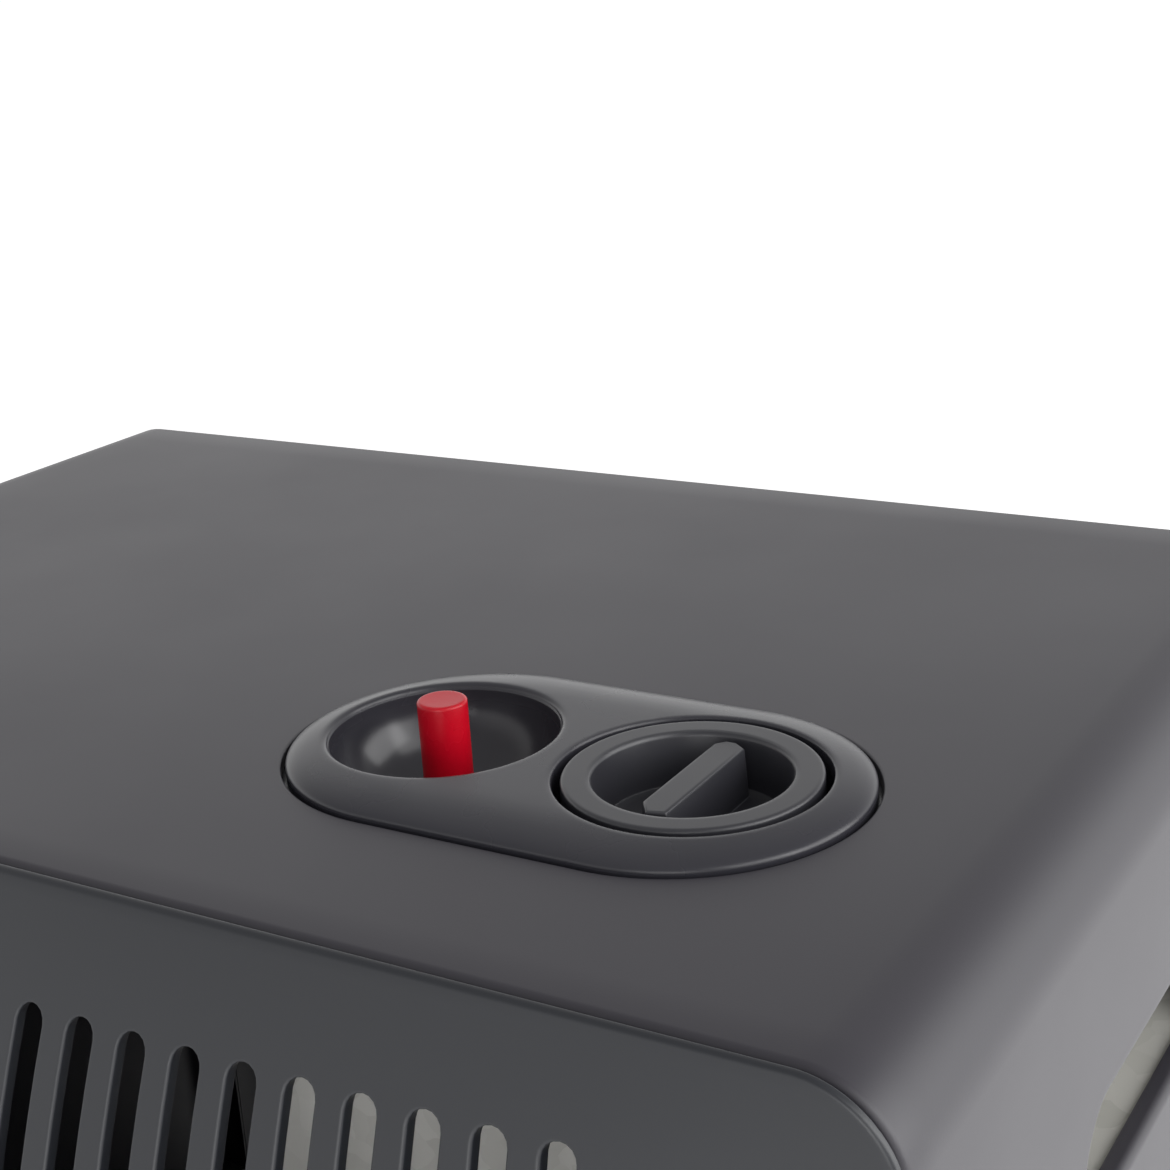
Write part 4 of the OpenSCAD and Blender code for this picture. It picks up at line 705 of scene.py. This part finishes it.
# Igniter button: a bright red acetal plunger that stands up out of the bowl.
# It is pressed down against its spring until the piezo unit below it fires.
button_r, button_round, button_dish = (button_high.x - button_low.x) / 2, 0.0007, 0.0002
red = grained_finish("red_plastic", (0.38, 0.0008, 0.0085), (0.46, 0.0015, 0.0120), (0.22, 0.28), 0.000006,
                     fine=2600, broad=40, Specular_IOR_Level=0.3)
button_mesh = bmesh.new()
lathe(button_mesh, bowl_centre, [
    (0, button_low.z), (button_r, button_low.z), *rounded_edge(button_r, button_high.z, button_round),
    (button_r - 0.0011, button_high.z), (0, button_high.z - button_dish)], 64)
new_piece("button", button_mesh, red, "igniter", "igniter_button", 30)

# Base tray: a folded pan of the same coated steel, screwed between the casing's sides. The gas
# bottle stands in it, and its front edge carries the front sheet.


def coat(material, *names):
    for name in names:
        cad = nodes[name]
        cad.data.materials.clear()
        cad.data.materials.append(material)


coat(casing_paint, "base_tray")

# Grip cups, valve cover and heat shield: folded sheet without paint, the cups in dull steel and
# the others galvanised. The cups close the two hand openings on the inside, and the cover keeps
# the tap and its pipes clear of the bottle.


def metal_group(name):
    return socket_group(name, "ShaderNodeTree", [("Place", "Vector"), ("Size", "Float")],
                        [("Tone", "Float"), ("Height", "Float")])


def make_spangle_group():
    tree, given, result = metal_group("spangle")
    warp = add_node(tree, "ShaderNodeTexNoise", {
        "Vector": given["Place"], "Scale": given["Size"], "Detail": 2})
    swayed = value_of(tree, "ShaderNodeVectorMath", {0: warp.outputs["Color"], 1: (0.004, 0.004, 0.004)},
                      operation="MULTIPLY")
    place = value_of(tree, "ShaderNodeVectorMath", {0: given["Place"], 1: swayed}, operation="ADD")
    crystal = add_node(tree, "ShaderNodeTexVoronoi", {"Vector": place, "Scale": given["Size"]}).outputs
    tone = value_of(tree, "ShaderNodeSeparateColor", {"Color": crystal["Color"]})
    return put_out(tree, result, Tone=tone, Height=crystal["Distance"])


def make_brush_group():
    tree, given, result = metal_group("brushed")
    drawn = value_of(tree, "ShaderNodeMapping", {"Vector": given["Place"], "Scale": (0.03, 1, 1)})
    streak = noise(tree, drawn, given["Size"], 4, 0.65)
    haze = noise(tree, given["Place"], 22, 3)
    tone = value_of(tree, "ShaderNodeMix", {"Factor": 0.45, "A": streak, "B": haze})
    return put_out(tree, result, Tone=tone, Height=streak)


def metal_finish(name, effect, size, dark, light, rough, depth, edge=0.0003, metallic=1.0):
    return make_finish(name, effect, {"Size": size}, dark, light, (0, 1, rough[1], rough[0]), depth, edge,
                       Metallic=metallic)


spangle_group = make_spangle_group()
brush_group = make_brush_group()
galvanised = metal_finish("galvanised", spangle_group, 150, (0.78, 0.77, 0.73), (0.90, 0.89, 0.85),
                          (0.36, 0.50), 0.000012, metallic=0.10)
bare_steel = metal_finish("bare_steel", spangle_group, 90, (0.36, 0.355, 0.33), (0.44, 0.435, 0.41),
                          (0.40, 0.52), 0.000008, metallic=0.10)
coat(bare_steel, "grip_plates")
coat(galvanised, "valve_cover", "heat_shield", "burner_sides", "control_bracket", "pipe_clip")

# Tap: a die-cast body with a brass thermostat magnet and hose tail, hung under the bracket by its
# neck nut. A spring and a brass plunger lift the spindle that carries the knob.
die_cast = grained_finish("die_cast", (0.40, 0.41, 0.42), (0.52, 0.53, 0.54), (0.42, 0.55), 0.000020,
                          fine=1400, broad=60, edge=0.0006, Metallic=0.85)
brass = metal_finish("brass", brush_group, 1500, (0.58, 0.42, 0.16), (0.74, 0.56, 0.26),
                     (0.22, 0.34), 0.000003)
zinc = metal_finish("zinc_screw", brush_group, 700, (0.52, 0.53, 0.54), (0.66, 0.66, 0.65),
                    (0.24, 0.36), 0.000003)
spring_wire = metal_finish("spring_steel", brush_group, 1800, (0.36, 0.36, 0.37), (0.50, 0.50, 0.51),
                           (0.20, 0.30), 0.000002, edge=0.0001)
coat(die_cast, "valve_body")
coat(brass, "magnet_unit", "hose_tail", "control_nuts", "valve_plunger")
coat(zinc, "valve_spindle", "control_screws")
coat(spring_wire, "knob_spring", "button_spring")
coat(nylon, "piezo_body")

# Ceramic plaques: three pressed cordierite blocks, each with a honeycomb of blind holes that the
# gas burns in. Each is bedded in a fibre gasket that covers its ragged border.


def growth_tree(name, inputs):
    return socket_group(name, "GeometryNodeTree", [("Geometry", "Geometry"), *inputs, ("Finish", "Material")],
                        [("Geometry", "Geometry")])


def finish_tree(tree, made, given, result):
    whole = value_of(tree, "GeometryNodeRealizeInstances", {"Geometry": made})
    coated = value_of(tree, "GeometryNodeSetMaterial", {"Geometry": whole, "Material": given["Finish"]})
    return put_out(tree, result, Geometry=coated)


def grown_mesh(name, tree, values, points, aims=None):
    data = bpy.data.meshes.new(name)
    data.from_pydata(points, [], [])
    if aims:
        data.attributes.new("aim", "FLOAT_VECTOR", "POINT").data.foreach_set(
            "vector", [value for aim in aims for value in aim])
    seed = place_object(name, data)
    growth = seed.modifiers.new("growth", "NODES")
    growth.node_group = tree
    for socket in tree.interface.items_tree:
        if socket.name in values:
            growth[socket.identifier] = values[socket.name]
    bpy.context.view_layer.update()
    grown = bpy.data.meshes.new_from_object(seed.evaluated_get(bpy.context.evaluated_depsgraph_get()))
    seed.modifiers.remove(growth)
    bpy.data.objects.remove(seed)
    mesh = bmesh.new()
    mesh.from_mesh(grown)
    bpy.data.meshes.remove(grown)
    return mesh


def honeycomb_tree():
    tree, given, result = growth_tree("honeycomb", [
        (key, "Float") for key in ("Width", "Height", "Pitch", "Hole Share", "Depth")])
    row_pitch = maths(tree, "MULTIPLY", given["Pitch"], sqrt(3) / 2)
    across = maths(tree, "FLOOR", maths(tree, "DIVIDE", given["Width"], given["Pitch"]))
    up = maths(tree, "FLOOR", maths(tree, "DIVIDE", given["Height"], row_pitch))
    lattice = value_of(tree, "GeometryNodeMeshGrid", {
        "Size X": maths(tree, "MULTIPLY", maths(tree, "SUBTRACT", across, 1), given["Pitch"]),
        "Size Y": maths(tree, "MULTIPLY", maths(tree, "SUBTRACT", up, 1), row_pitch),
        "Vertices X": across, "Vertices Y": up})
    place = value_of(tree, "GeometryNodeInputPosition")
    level = add_node(tree, "ShaderNodeSeparateXYZ", {0: place}).outputs["Y"]
    row = maths(tree, "ROUND", maths(tree, "DIVIDE", level, row_pitch))
    odd = maths(tree, "MODULO", maths(tree, "ADD", row, 1000), 2)
    half_pitch = maths(tree, "MULTIPLY", given["Pitch"], 0.5)
    shift = maths(tree, "MULTIPLY", maths(tree, "SUBTRACT", odd, 0.5), half_pitch)
    sideways = value_of(tree, "ShaderNodeCombineXYZ", {0: shift})
    moved = value_of(tree, "GeometryNodeSetPosition", {"Geometry": lattice, "Offset": sideways})
    cell_r = maths(tree, "DIVIDE", given["Pitch"], sqrt(3))
    cell = add_node(tree, "GeometryNodeMeshCylinder", {
        "Vertices": 6, "Radius": cell_r, "Depth": given["Depth"]}).outputs
    brim = add_node(tree, "GeometryNodeExtrudeMesh", {
        "Mesh": cell["Mesh"], "Selection": cell["Top"], "Offset Scale": 0}).outputs
    mouth = value_of(tree, "GeometryNodeScaleElements", {
        "Geometry": brim["Mesh"], "Selection": brim["Top"], "Scale": given["Hole Share"]})
    pit_depth = maths(tree, "MULTIPLY", given["Depth"], -0.85)
    pit = value_of(tree, "GeometryNodeExtrudeMesh", {
        "Mesh": mouth, "Selection": brim["Top"], "Offset Scale": pit_depth})
    panel = value_of(tree, "GeometryNodeInstanceOnPoints", {
        "Points": moved, "Instance": pit, "Rotation": (0, 0, radians(30))})
    upright = value_of(tree, "GeometryNodeInstanceOnPoints", {
        "Points": given["Geometry"], "Instance": panel, "Rotation": (radians(90), 0, 0)})
    return finish_tree(tree, upright, given, result)


def ring_slab(mesh, low, high, border, y0, y1):
    rings = []
    for inset, y in ((0, y0), (0, y1), (border, y1), (border, y0)):
        x0, z0, x1, z1 = low[0] + inset, low[1] + inset, high[0] - inset, high[1] - inset
        rings.append([mesh.verts.new((x, y, z)) for x, z in ((x0, z0), (x1, z0), (x1, z1), (x0, z1))])
    join(mesh, rings + rings[:1])


ceramic = grained_finish("ceramic", (0.70, 0.62, 0.50), (0.80, 0.74, 0.64), (0.80, 0.92), 0.000030,
                         fine=1700, broad=26, specks=(0.60, 0.50, 0.38))
plaque_low, plaque_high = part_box("ceramic_plaques")
plaque_z, plaque_h = (plaque_low.z + plaque_high.z) / 2, plaque_high.z - plaque_low.z
plaque_w, plaque_pitch = 0.092, 0.095
cell_pitch, cell_depth, hole_share = 0.0040, 0.0030, 0.62
gasket_w, gasket_stand = 0.0045, 0.0005
plaque_xs = [-plaque_pitch, 0, plaque_pitch]
plaque_mesh = grown_mesh(
    "plaques", honeycomb_tree(),
    {"Width": plaque_w - 0.004, "Height": plaque_h - 0.002, "Pitch": cell_pitch, "Hole Share": hole_share,
     "Depth": cell_depth, "Finish": ceramic},
    [(x, plaque_low.y + cell_depth / 2, plaque_z) for x in plaque_xs])
for x in plaque_xs:
    side_low, side_high, cell_end = x - plaque_w / 2, x + plaque_w / 2, plaque_low.y + cell_depth
    add_slab(plaque_mesh, (side_low, cell_end, plaque_low.z), (side_high, plaque_high.y, plaque_high.z))
    ring_slab(plaque_mesh, (side_low, plaque_low.z), (side_high, plaque_high.z), gasket_w,
              plaque_low.y - gasket_stand, cell_end)
new_piece("plaques", plaque_mesh, ceramic, "casing", "ceramic_plaques")
coat(ceramic, "spark_electrode")

# Burner: a stainless frame clamps the plaques to three galvanised plenum boxes. Gas from the brass
# rail blows through an injector into each venturi, and a bright reflector stands all round.
stainless = metal_finish("stainless", brush_group, 800, (0.50, 0.49, 0.47), (0.66, 0.65, 0.63),
                         (0.20, 0.34), 0.000004)
coat(stainless, "burner_frame", "reflector", "pilot_bracket")
coat(galvanised, "plenum_boxes", "venturi_tubes")
coat(brass, "gas_rail", "injectors", "pilot_burner")

# Guard: chromed steel wires in front of the burner, welded to each other where they cross
# and hooked behind the lip of the window.
chrome = metal_finish("chrome_wire", brush_group, 2600, (0.60, 0.60, 0.61), (0.74, 0.74, 0.75),
                      (0.08, 0.16), 0.000001)
coat(chrome, "wire_guard")

# Pipes and leads: drawn copper from the tap to the burner and the pilot, the thermocouple's thin
# copper tube, and the igniter's lead in its silicone sleeve.
copper = metal_finish("copper_tube", brush_group, 1200, (0.62, 0.28, 0.16), (0.78, 0.42, 0.28),
                      (0.22, 0.40), 0.000004)
sleeve = grained_finish("lead_sleeve", (0.26, 0.035, 0.028), (0.36, 0.055, 0.042), (0.42, 0.55), 0.000030,
                        fine=1600, broad=70)
coat(copper, "burner_pipe", "pilot_pipe", "thermocouple_lead", "thermocouple_probe")
coat(sleeve, "ignition_lead")

# Rear door: one sheet of 1.2 mm coated steel bowed round the bottle bay, with rows of air slots, a
# finger hole and a cap welded in at the top. It hangs on two hinges and a magnet holds it shut.
door_corner, door_far_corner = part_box("rear_door")
door_side, door_front, door_back = door_far_corner.x, door_corner.y, door_far_corner.y
door_low, door_top = door_corner.z, door_far_corner.z
door_r, door_fold, door_lip = 0.042, 0.0035, 0.007
door_flat = door_side - door_r
door_bend_end = door_flat + door_r * pi / 2
door_side_run = door_back - door_r - door_front
door_end = door_bend_end + door_side_run
fold_z = door_top - door_fold
notch_run, notch_step = 0.0040, 0.0002
hinge_h, hinge_gap = 0.060, 0.002
notches = [(z - hinge_gap, z + hinge_h + hinge_gap) for z in (top * 0.2, top * 0.84)]
door_slot_x, door_slot_half_w, door_slot_r, door_slot_pitch = 0.075, 0.050, 0.003, 0.014
door_slot_zs = [base + door_slot_pitch * k for base in (door_low + 0.034, door_top - 0.140) for k in range(7)]
castor_top = 0.060
pull_x, pull_z = -door_side + door_r + 0.020, (castor_top + top) / 2
pull_half_w, pull_half_h = 0.011, 0.045
door_margin, pull_margin = 0.002, 0.004


def door_form(u, v, depth):
    rise = v - fold_z
    turn = min(max(rise, 0) / door_fold, pi / 2)
    inset = door_fold - (door_fold - depth) * cos(turn)
    z = v if rise <= 0 else fold_z + (door_fold - depth) * sin(turn)
    side, run = copysign(1, u), abs(u)
    if run <= door_flat:
        return u, door_back - inset, z
    bend = min((run - door_flat) / door_r, pi / 2)
    past = max(run - door_bend_end, 0)
    last = door_side_run - 2 * notch_run
    if u > 0 and past > last and any(low < v < high for low, high in notches):
        past = last + (past - last) / 2
    reach = door_r - inset
    return side * (door_flat + reach * sin(bend)), door_back - door_r + reach * cos(bend) - past, z


slot_near = door_slot_x - door_slot_half_w - door_margin
slot_far = door_slot_x + door_slot_half_w + door_margin
slot_end = 0.005
slot_marks = [(0, 0.010), (slot_near, 0.001), (slot_near + slot_end, 0.010), (slot_far - slot_end, 0.001),
              (slot_far, 0.010)]
bend_marks = [(door_flat, (door_bend_end - door_flat) / 12), (door_bend_end, 0.010),
              (door_end - 2 * notch_run, notch_run), (door_end, 0)]
pull_marks = [(-pull_x - pull_half_w - pull_margin, 0.003), (-pull_x + pull_half_w + pull_margin, 0.010)]
door_left, door_right = stepped(*slot_marks, *pull_marks, *bend_marks), stepped(*slot_marks, *bend_marks)
door_u = [-u for u in reversed(door_left[1:])] + door_right
row_step = 0.014
slot_reach, pull_reach = door_slot_r + door_margin, pull_half_h + pull_margin
spans = [(z - slot_reach, z + slot_reach, slot_reach / 4) for z in door_slot_zs]
spans.append((pull_z - pull_reach, pull_z + pull_reach, 0.003))
row_marks = [(door_low, row_step), (fold_z, 0.0008), (fold_z + door_fold * pi / 2, 0)]
for low, high, step in spans:
    row_marks += [(low, step), (high, row_step)]
for low, high in notches:
    row_marks += [(low, notch_step), (low + notch_step, row_step), (high - notch_step, notch_step),
                  (high, row_step)]
row_marks.sort()
door_v = [door_low]
for (low, step), (high, _) in zip(row_marks, row_marks[1:]):
    inside = [fine for start, end, fine in spans if start - 1e-6 <= low and high <= end + 1e-6]
    if high - low > 1e-5:
        door_v += stepped((low, inside[0] if inside else step), (high, 0))[1:]
door_holes = [Opening(side * door_slot_x, z, door_slot_half_w, door_slot_r, door_slot_r, door_margin,
                      rolled_rim(0.0005, sheet, sheet)) for side in (-1, 1) for z in door_slot_zs]
door_holes.append(Opening(pull_x, pull_z, pull_half_w, pull_half_h, pull_half_w, pull_margin,
                          rolled_rim(0.0012, 0.004, sheet)))
door_mesh = bmesh.new()
pressed_sheet(door_mesh, door_form, door_u, door_v, door_holes, sheet, sheet_edge)
cap_gap = 0.0002
cap_outline = []
for u in door_u:
    x, y, _ = door_form(u, fold_z, door_fold + cap_gap)
    cap_outline.append((x, y + (door_fold if abs(u) > door_end - notch_run / 2 else 0)))
join_solid(door_mesh, [[door_mesh.verts.new((x, y, z)) for x, y in cap_outline]
                       for z in (door_top - sheet, door_top)])
add_slab(door_mesh, (-door_side + sheet + 0.0001, door_front, door_low + 0.028),
         (-door_side + door_lip + sheet, door_front + sheet, door_top - 0.010))
new_piece("rear_door_sheet", door_mesh, casing_paint, "door", "rear_door")
magnet_black = grained_finish("magnet_black", (0.028, 0.028, 0.028), (0.045, 0.044, 0.043), (0.55, 0.70),
                              0.000020, fine=1500, broad=80, specks=(0.10, 0.10, 0.10))
coat(magnet_black, "door_magnet")
coat(zinc, "hinge_leaves_fixed", "hinge_pins", "hinge_leaves_door", "door_strike")

# Castors: four swivelling plastic forks on zinc-plated plates, each with one moulded wheel that
# turns on a steel axle. The tread is grooved, and six ribs stiffen each side of the wheel.
# Both castor finishes get a painted highlight along their edges.
castor_plastic = grained_finish("castor_plastic", (0.016, 0.016, 0.017), (0.024, 0.024, 0.025),
                                (0.34, 0.46), 0.000012, fine=2600, broad=60, rubbed=(0.05, 0.05, 0.05))
tread = grained_finish("wheel_tread", (0.030, 0.030, 0.031), (0.050, 0.049, 0.048), (0.50, 0.66), 0.000030,
                       fine=1500, broad=70, rubbed=(0.085, 0.083, 0.08))
wheel_sides = 120
rib_count, rib_half, rib_stand = 6, radians(6), 0.0024
groove_half, groove_deep = 0.0008, 0.0007
axle_gap, wheel_round = 0.0031, 0.0015
hub_edge, hub_r, web_deep, rim_deep = 0.0078, 0.0088, 0.0030, 0.0008


def wheel_mesh(centre, radius, half_w):
    mesh = bmesh.new()
    web, rim = half_w - web_deep, half_w - rim_deep
    side = [(axle_gap, half_w, 0), (hub_edge, half_w, 0), (hub_r - 0.0004, half_w - 0.0006, 0),
            (hub_r, web, 1), (radius - 0.0055, web, 1), (radius - 0.0050, rim - 0.0004, 0),
            (radius - 0.0044, rim, 0), (radius - wheel_round - 0.0004, rim, 0)]
    side += [(radius - wheel_round * (1 - sin(t)), rim - wheel_round * (1 - cos(t)), 0)
             for t in (pi / 6, pi / 3, pi / 2)]
    for middle in (half_w * 0.45, 0):
        side += [(radius, middle + groove_half, 0), (radius - groove_deep, middle + groove_half * 0.6, 0)]
    rings = []
    for r, x, ribbed in side + [(r, -x, ribbed) for r, x, ribbed in reversed(side)]:
        ring = []
        for k in range(wheel_sides):
            turn = 2 * pi * k / wheel_sides
            off = abs((turn + pi / rib_count) % (2 * pi / rib_count) - pi / rib_count)
            lift = rib_stand if ribbed and off < rib_half else 0
            ring.append(mesh.verts.new((centre.x + copysign(abs(x) + lift, x), centre.y + r * cos(turn),
                                        centre.z + r * sin(turn))))
        rings.append(ring)
    join(mesh, rings + rings[:1])
    return mesh


corners = ("fl", "fr", "rl", "rr")
for corner in corners:
    wheel_low, wheel_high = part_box("castor_wheel_" + corner)
    wheel = wheel_mesh((wheel_low + wheel_high) / 2, (wheel_high.z - wheel_low.z) / 2,
                       (wheel_high.x - wheel_low.x) / 2)
    new_piece("wheel_" + corner, wheel, tread, "wheel_" + corner, "castor_wheel_" + corner, 30)
    coat(castor_plastic, "castor_fork_" + corner)
    coat(zinc, "castor_axle_" + corner)
coat(zinc, "castor_plates")

# Screws: zinc-plated pan heads with a cross recess. Ten hold the front and the tray to the
# casing's sides, and four hold each castor plate to the tray.


def screw_tree():
    tree, given, result = growth_tree("set_screws", [("Head", "Object"), ("Seed", "Int")])
    head = add_node(tree, "GeometryNodeObjectInfo", {"Object": given["Head"]}).outputs["Geometry"]
    aim = add_node(tree, "GeometryNodeInputNamedAttribute", {"Name": "aim"}, data_type="FLOAT_VECTOR")
    turned = value_of(tree, "FunctionNodeAlignRotationToVector", {"Vector": aim.outputs["Attribute"]})
    placed = value_of(tree, "GeometryNodeInstanceOnPoints", {
        "Points": given["Geometry"], "Instance": head, "Rotation": turned})
    drawn = add_node(tree, "FunctionNodeRandomValue", {"Seed": given["Seed"]}, data_type="FLOAT").outputs[1]
    angle = value_of(tree, "ShaderNodeCombineXYZ", {2: maths(tree, "MULTIPLY", drawn, pi / 2)})
    spun = value_of(tree, "GeometryNodeRotateInstances", {"Instances": placed, "Rotation": angle})
    return finish_tree(tree, spun, given, result)


def screw_head(radius, height, shank_r, shank_l):
    arm_half, arm_l, deep = radius * 0.11, radius * 0.52, height * 0.7
    arm_turn = atan2(arm_half, arm_l)
    star = []
    for quadrant in range(4):
        for turn in (-arm_turn, 0, arm_turn, pi / 6, pi / 4, pi / 3):
            near = min(abs(turn), abs(pi / 2 - turn))
            reach = arm_l / cos(near) if near <= arm_turn + 1e-6 else arm_half / sin(near)
            star.append((turn + quadrant * pi / 2, reach))
    mesh = bmesh.new()

    def ring(z, radius=None, share=1):
        places = [(turn, radius or reach * share) for turn, reach in star]
        return [mesh.verts.new((out * cos(turn), out * sin(turn), z)) for turn, out in places]

    join_solid(mesh, [
        ring(-shank_l, shank_r * 0.6), ring(-shank_l + 0.001, shank_r), ring(0.00002, shank_r),
        ring(0, radius), ring(height * 0.35, radius), ring(height * 0.78, radius * 0.86),
        ring(height * 0.96, radius * 0.66), ring(height), ring(height - deep, share=0.75)])
    bmesh.ops.recalc_face_normals(mesh, faces=mesh.faces)
    data = bpy.data.meshes.new("screw_head")
    mesh.to_mesh(data)
    mesh.free()
    return place_object("screw_head", data)


set_screws = screw_tree()
front_screw_y, tray_screw_z = seam_y + 0.008, castor_top + 0.011
side_rows = [(front_screw_y, 0.200), (front_screw_y, 0.560)] + [(y, tray_screw_z) for y in (-0.1, 0, 0.1)]
side_screws = [((side * half_width, y, z), (side, 0, 0)) for side in (-1, 1) for y, z in side_rows]
castor_trail, castor_screw_at, castor_plate_t = 0.016, 0.016, 0.0025
plate_z = castor_top - castor_plate_t
plate_screws = []
for corner in corners:
    axle_low, axle_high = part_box("castor_axle_" + corner)
    middle_x, middle_y = (axle_low.x + axle_high.x) / 2, (axle_low.y + axle_high.y) / 2 - castor_trail
    plate_screws += [((middle_x + dx * castor_screw_at, middle_y + dy * castor_screw_at, plate_z), (0, 0, -1))
                     for dx in (-1, 1) for dy in (-1, 1)]
for name, screws, head_sizes, node, seed in (
        ("side_screws", side_screws, (0.0036, 0.0016, 0.0018, 0.007), "casing_screws", 3),
        ("castor_plate_screws", plate_screws, (0.0030, 0.0014, 0.0018, 0.006), "castor_screws", 8)):
    head = screw_head(*head_sizes)
    screw_mesh = grown_mesh(name, set_screws, {"Head": head, "Seed": seed, "Finish": zinc},
                            [place for place, _ in screws], [aim for _, aim in screws])
    bpy.data.objects.remove(head)
    new_piece(name, screw_mesh, zinc, "casing", node, 30)
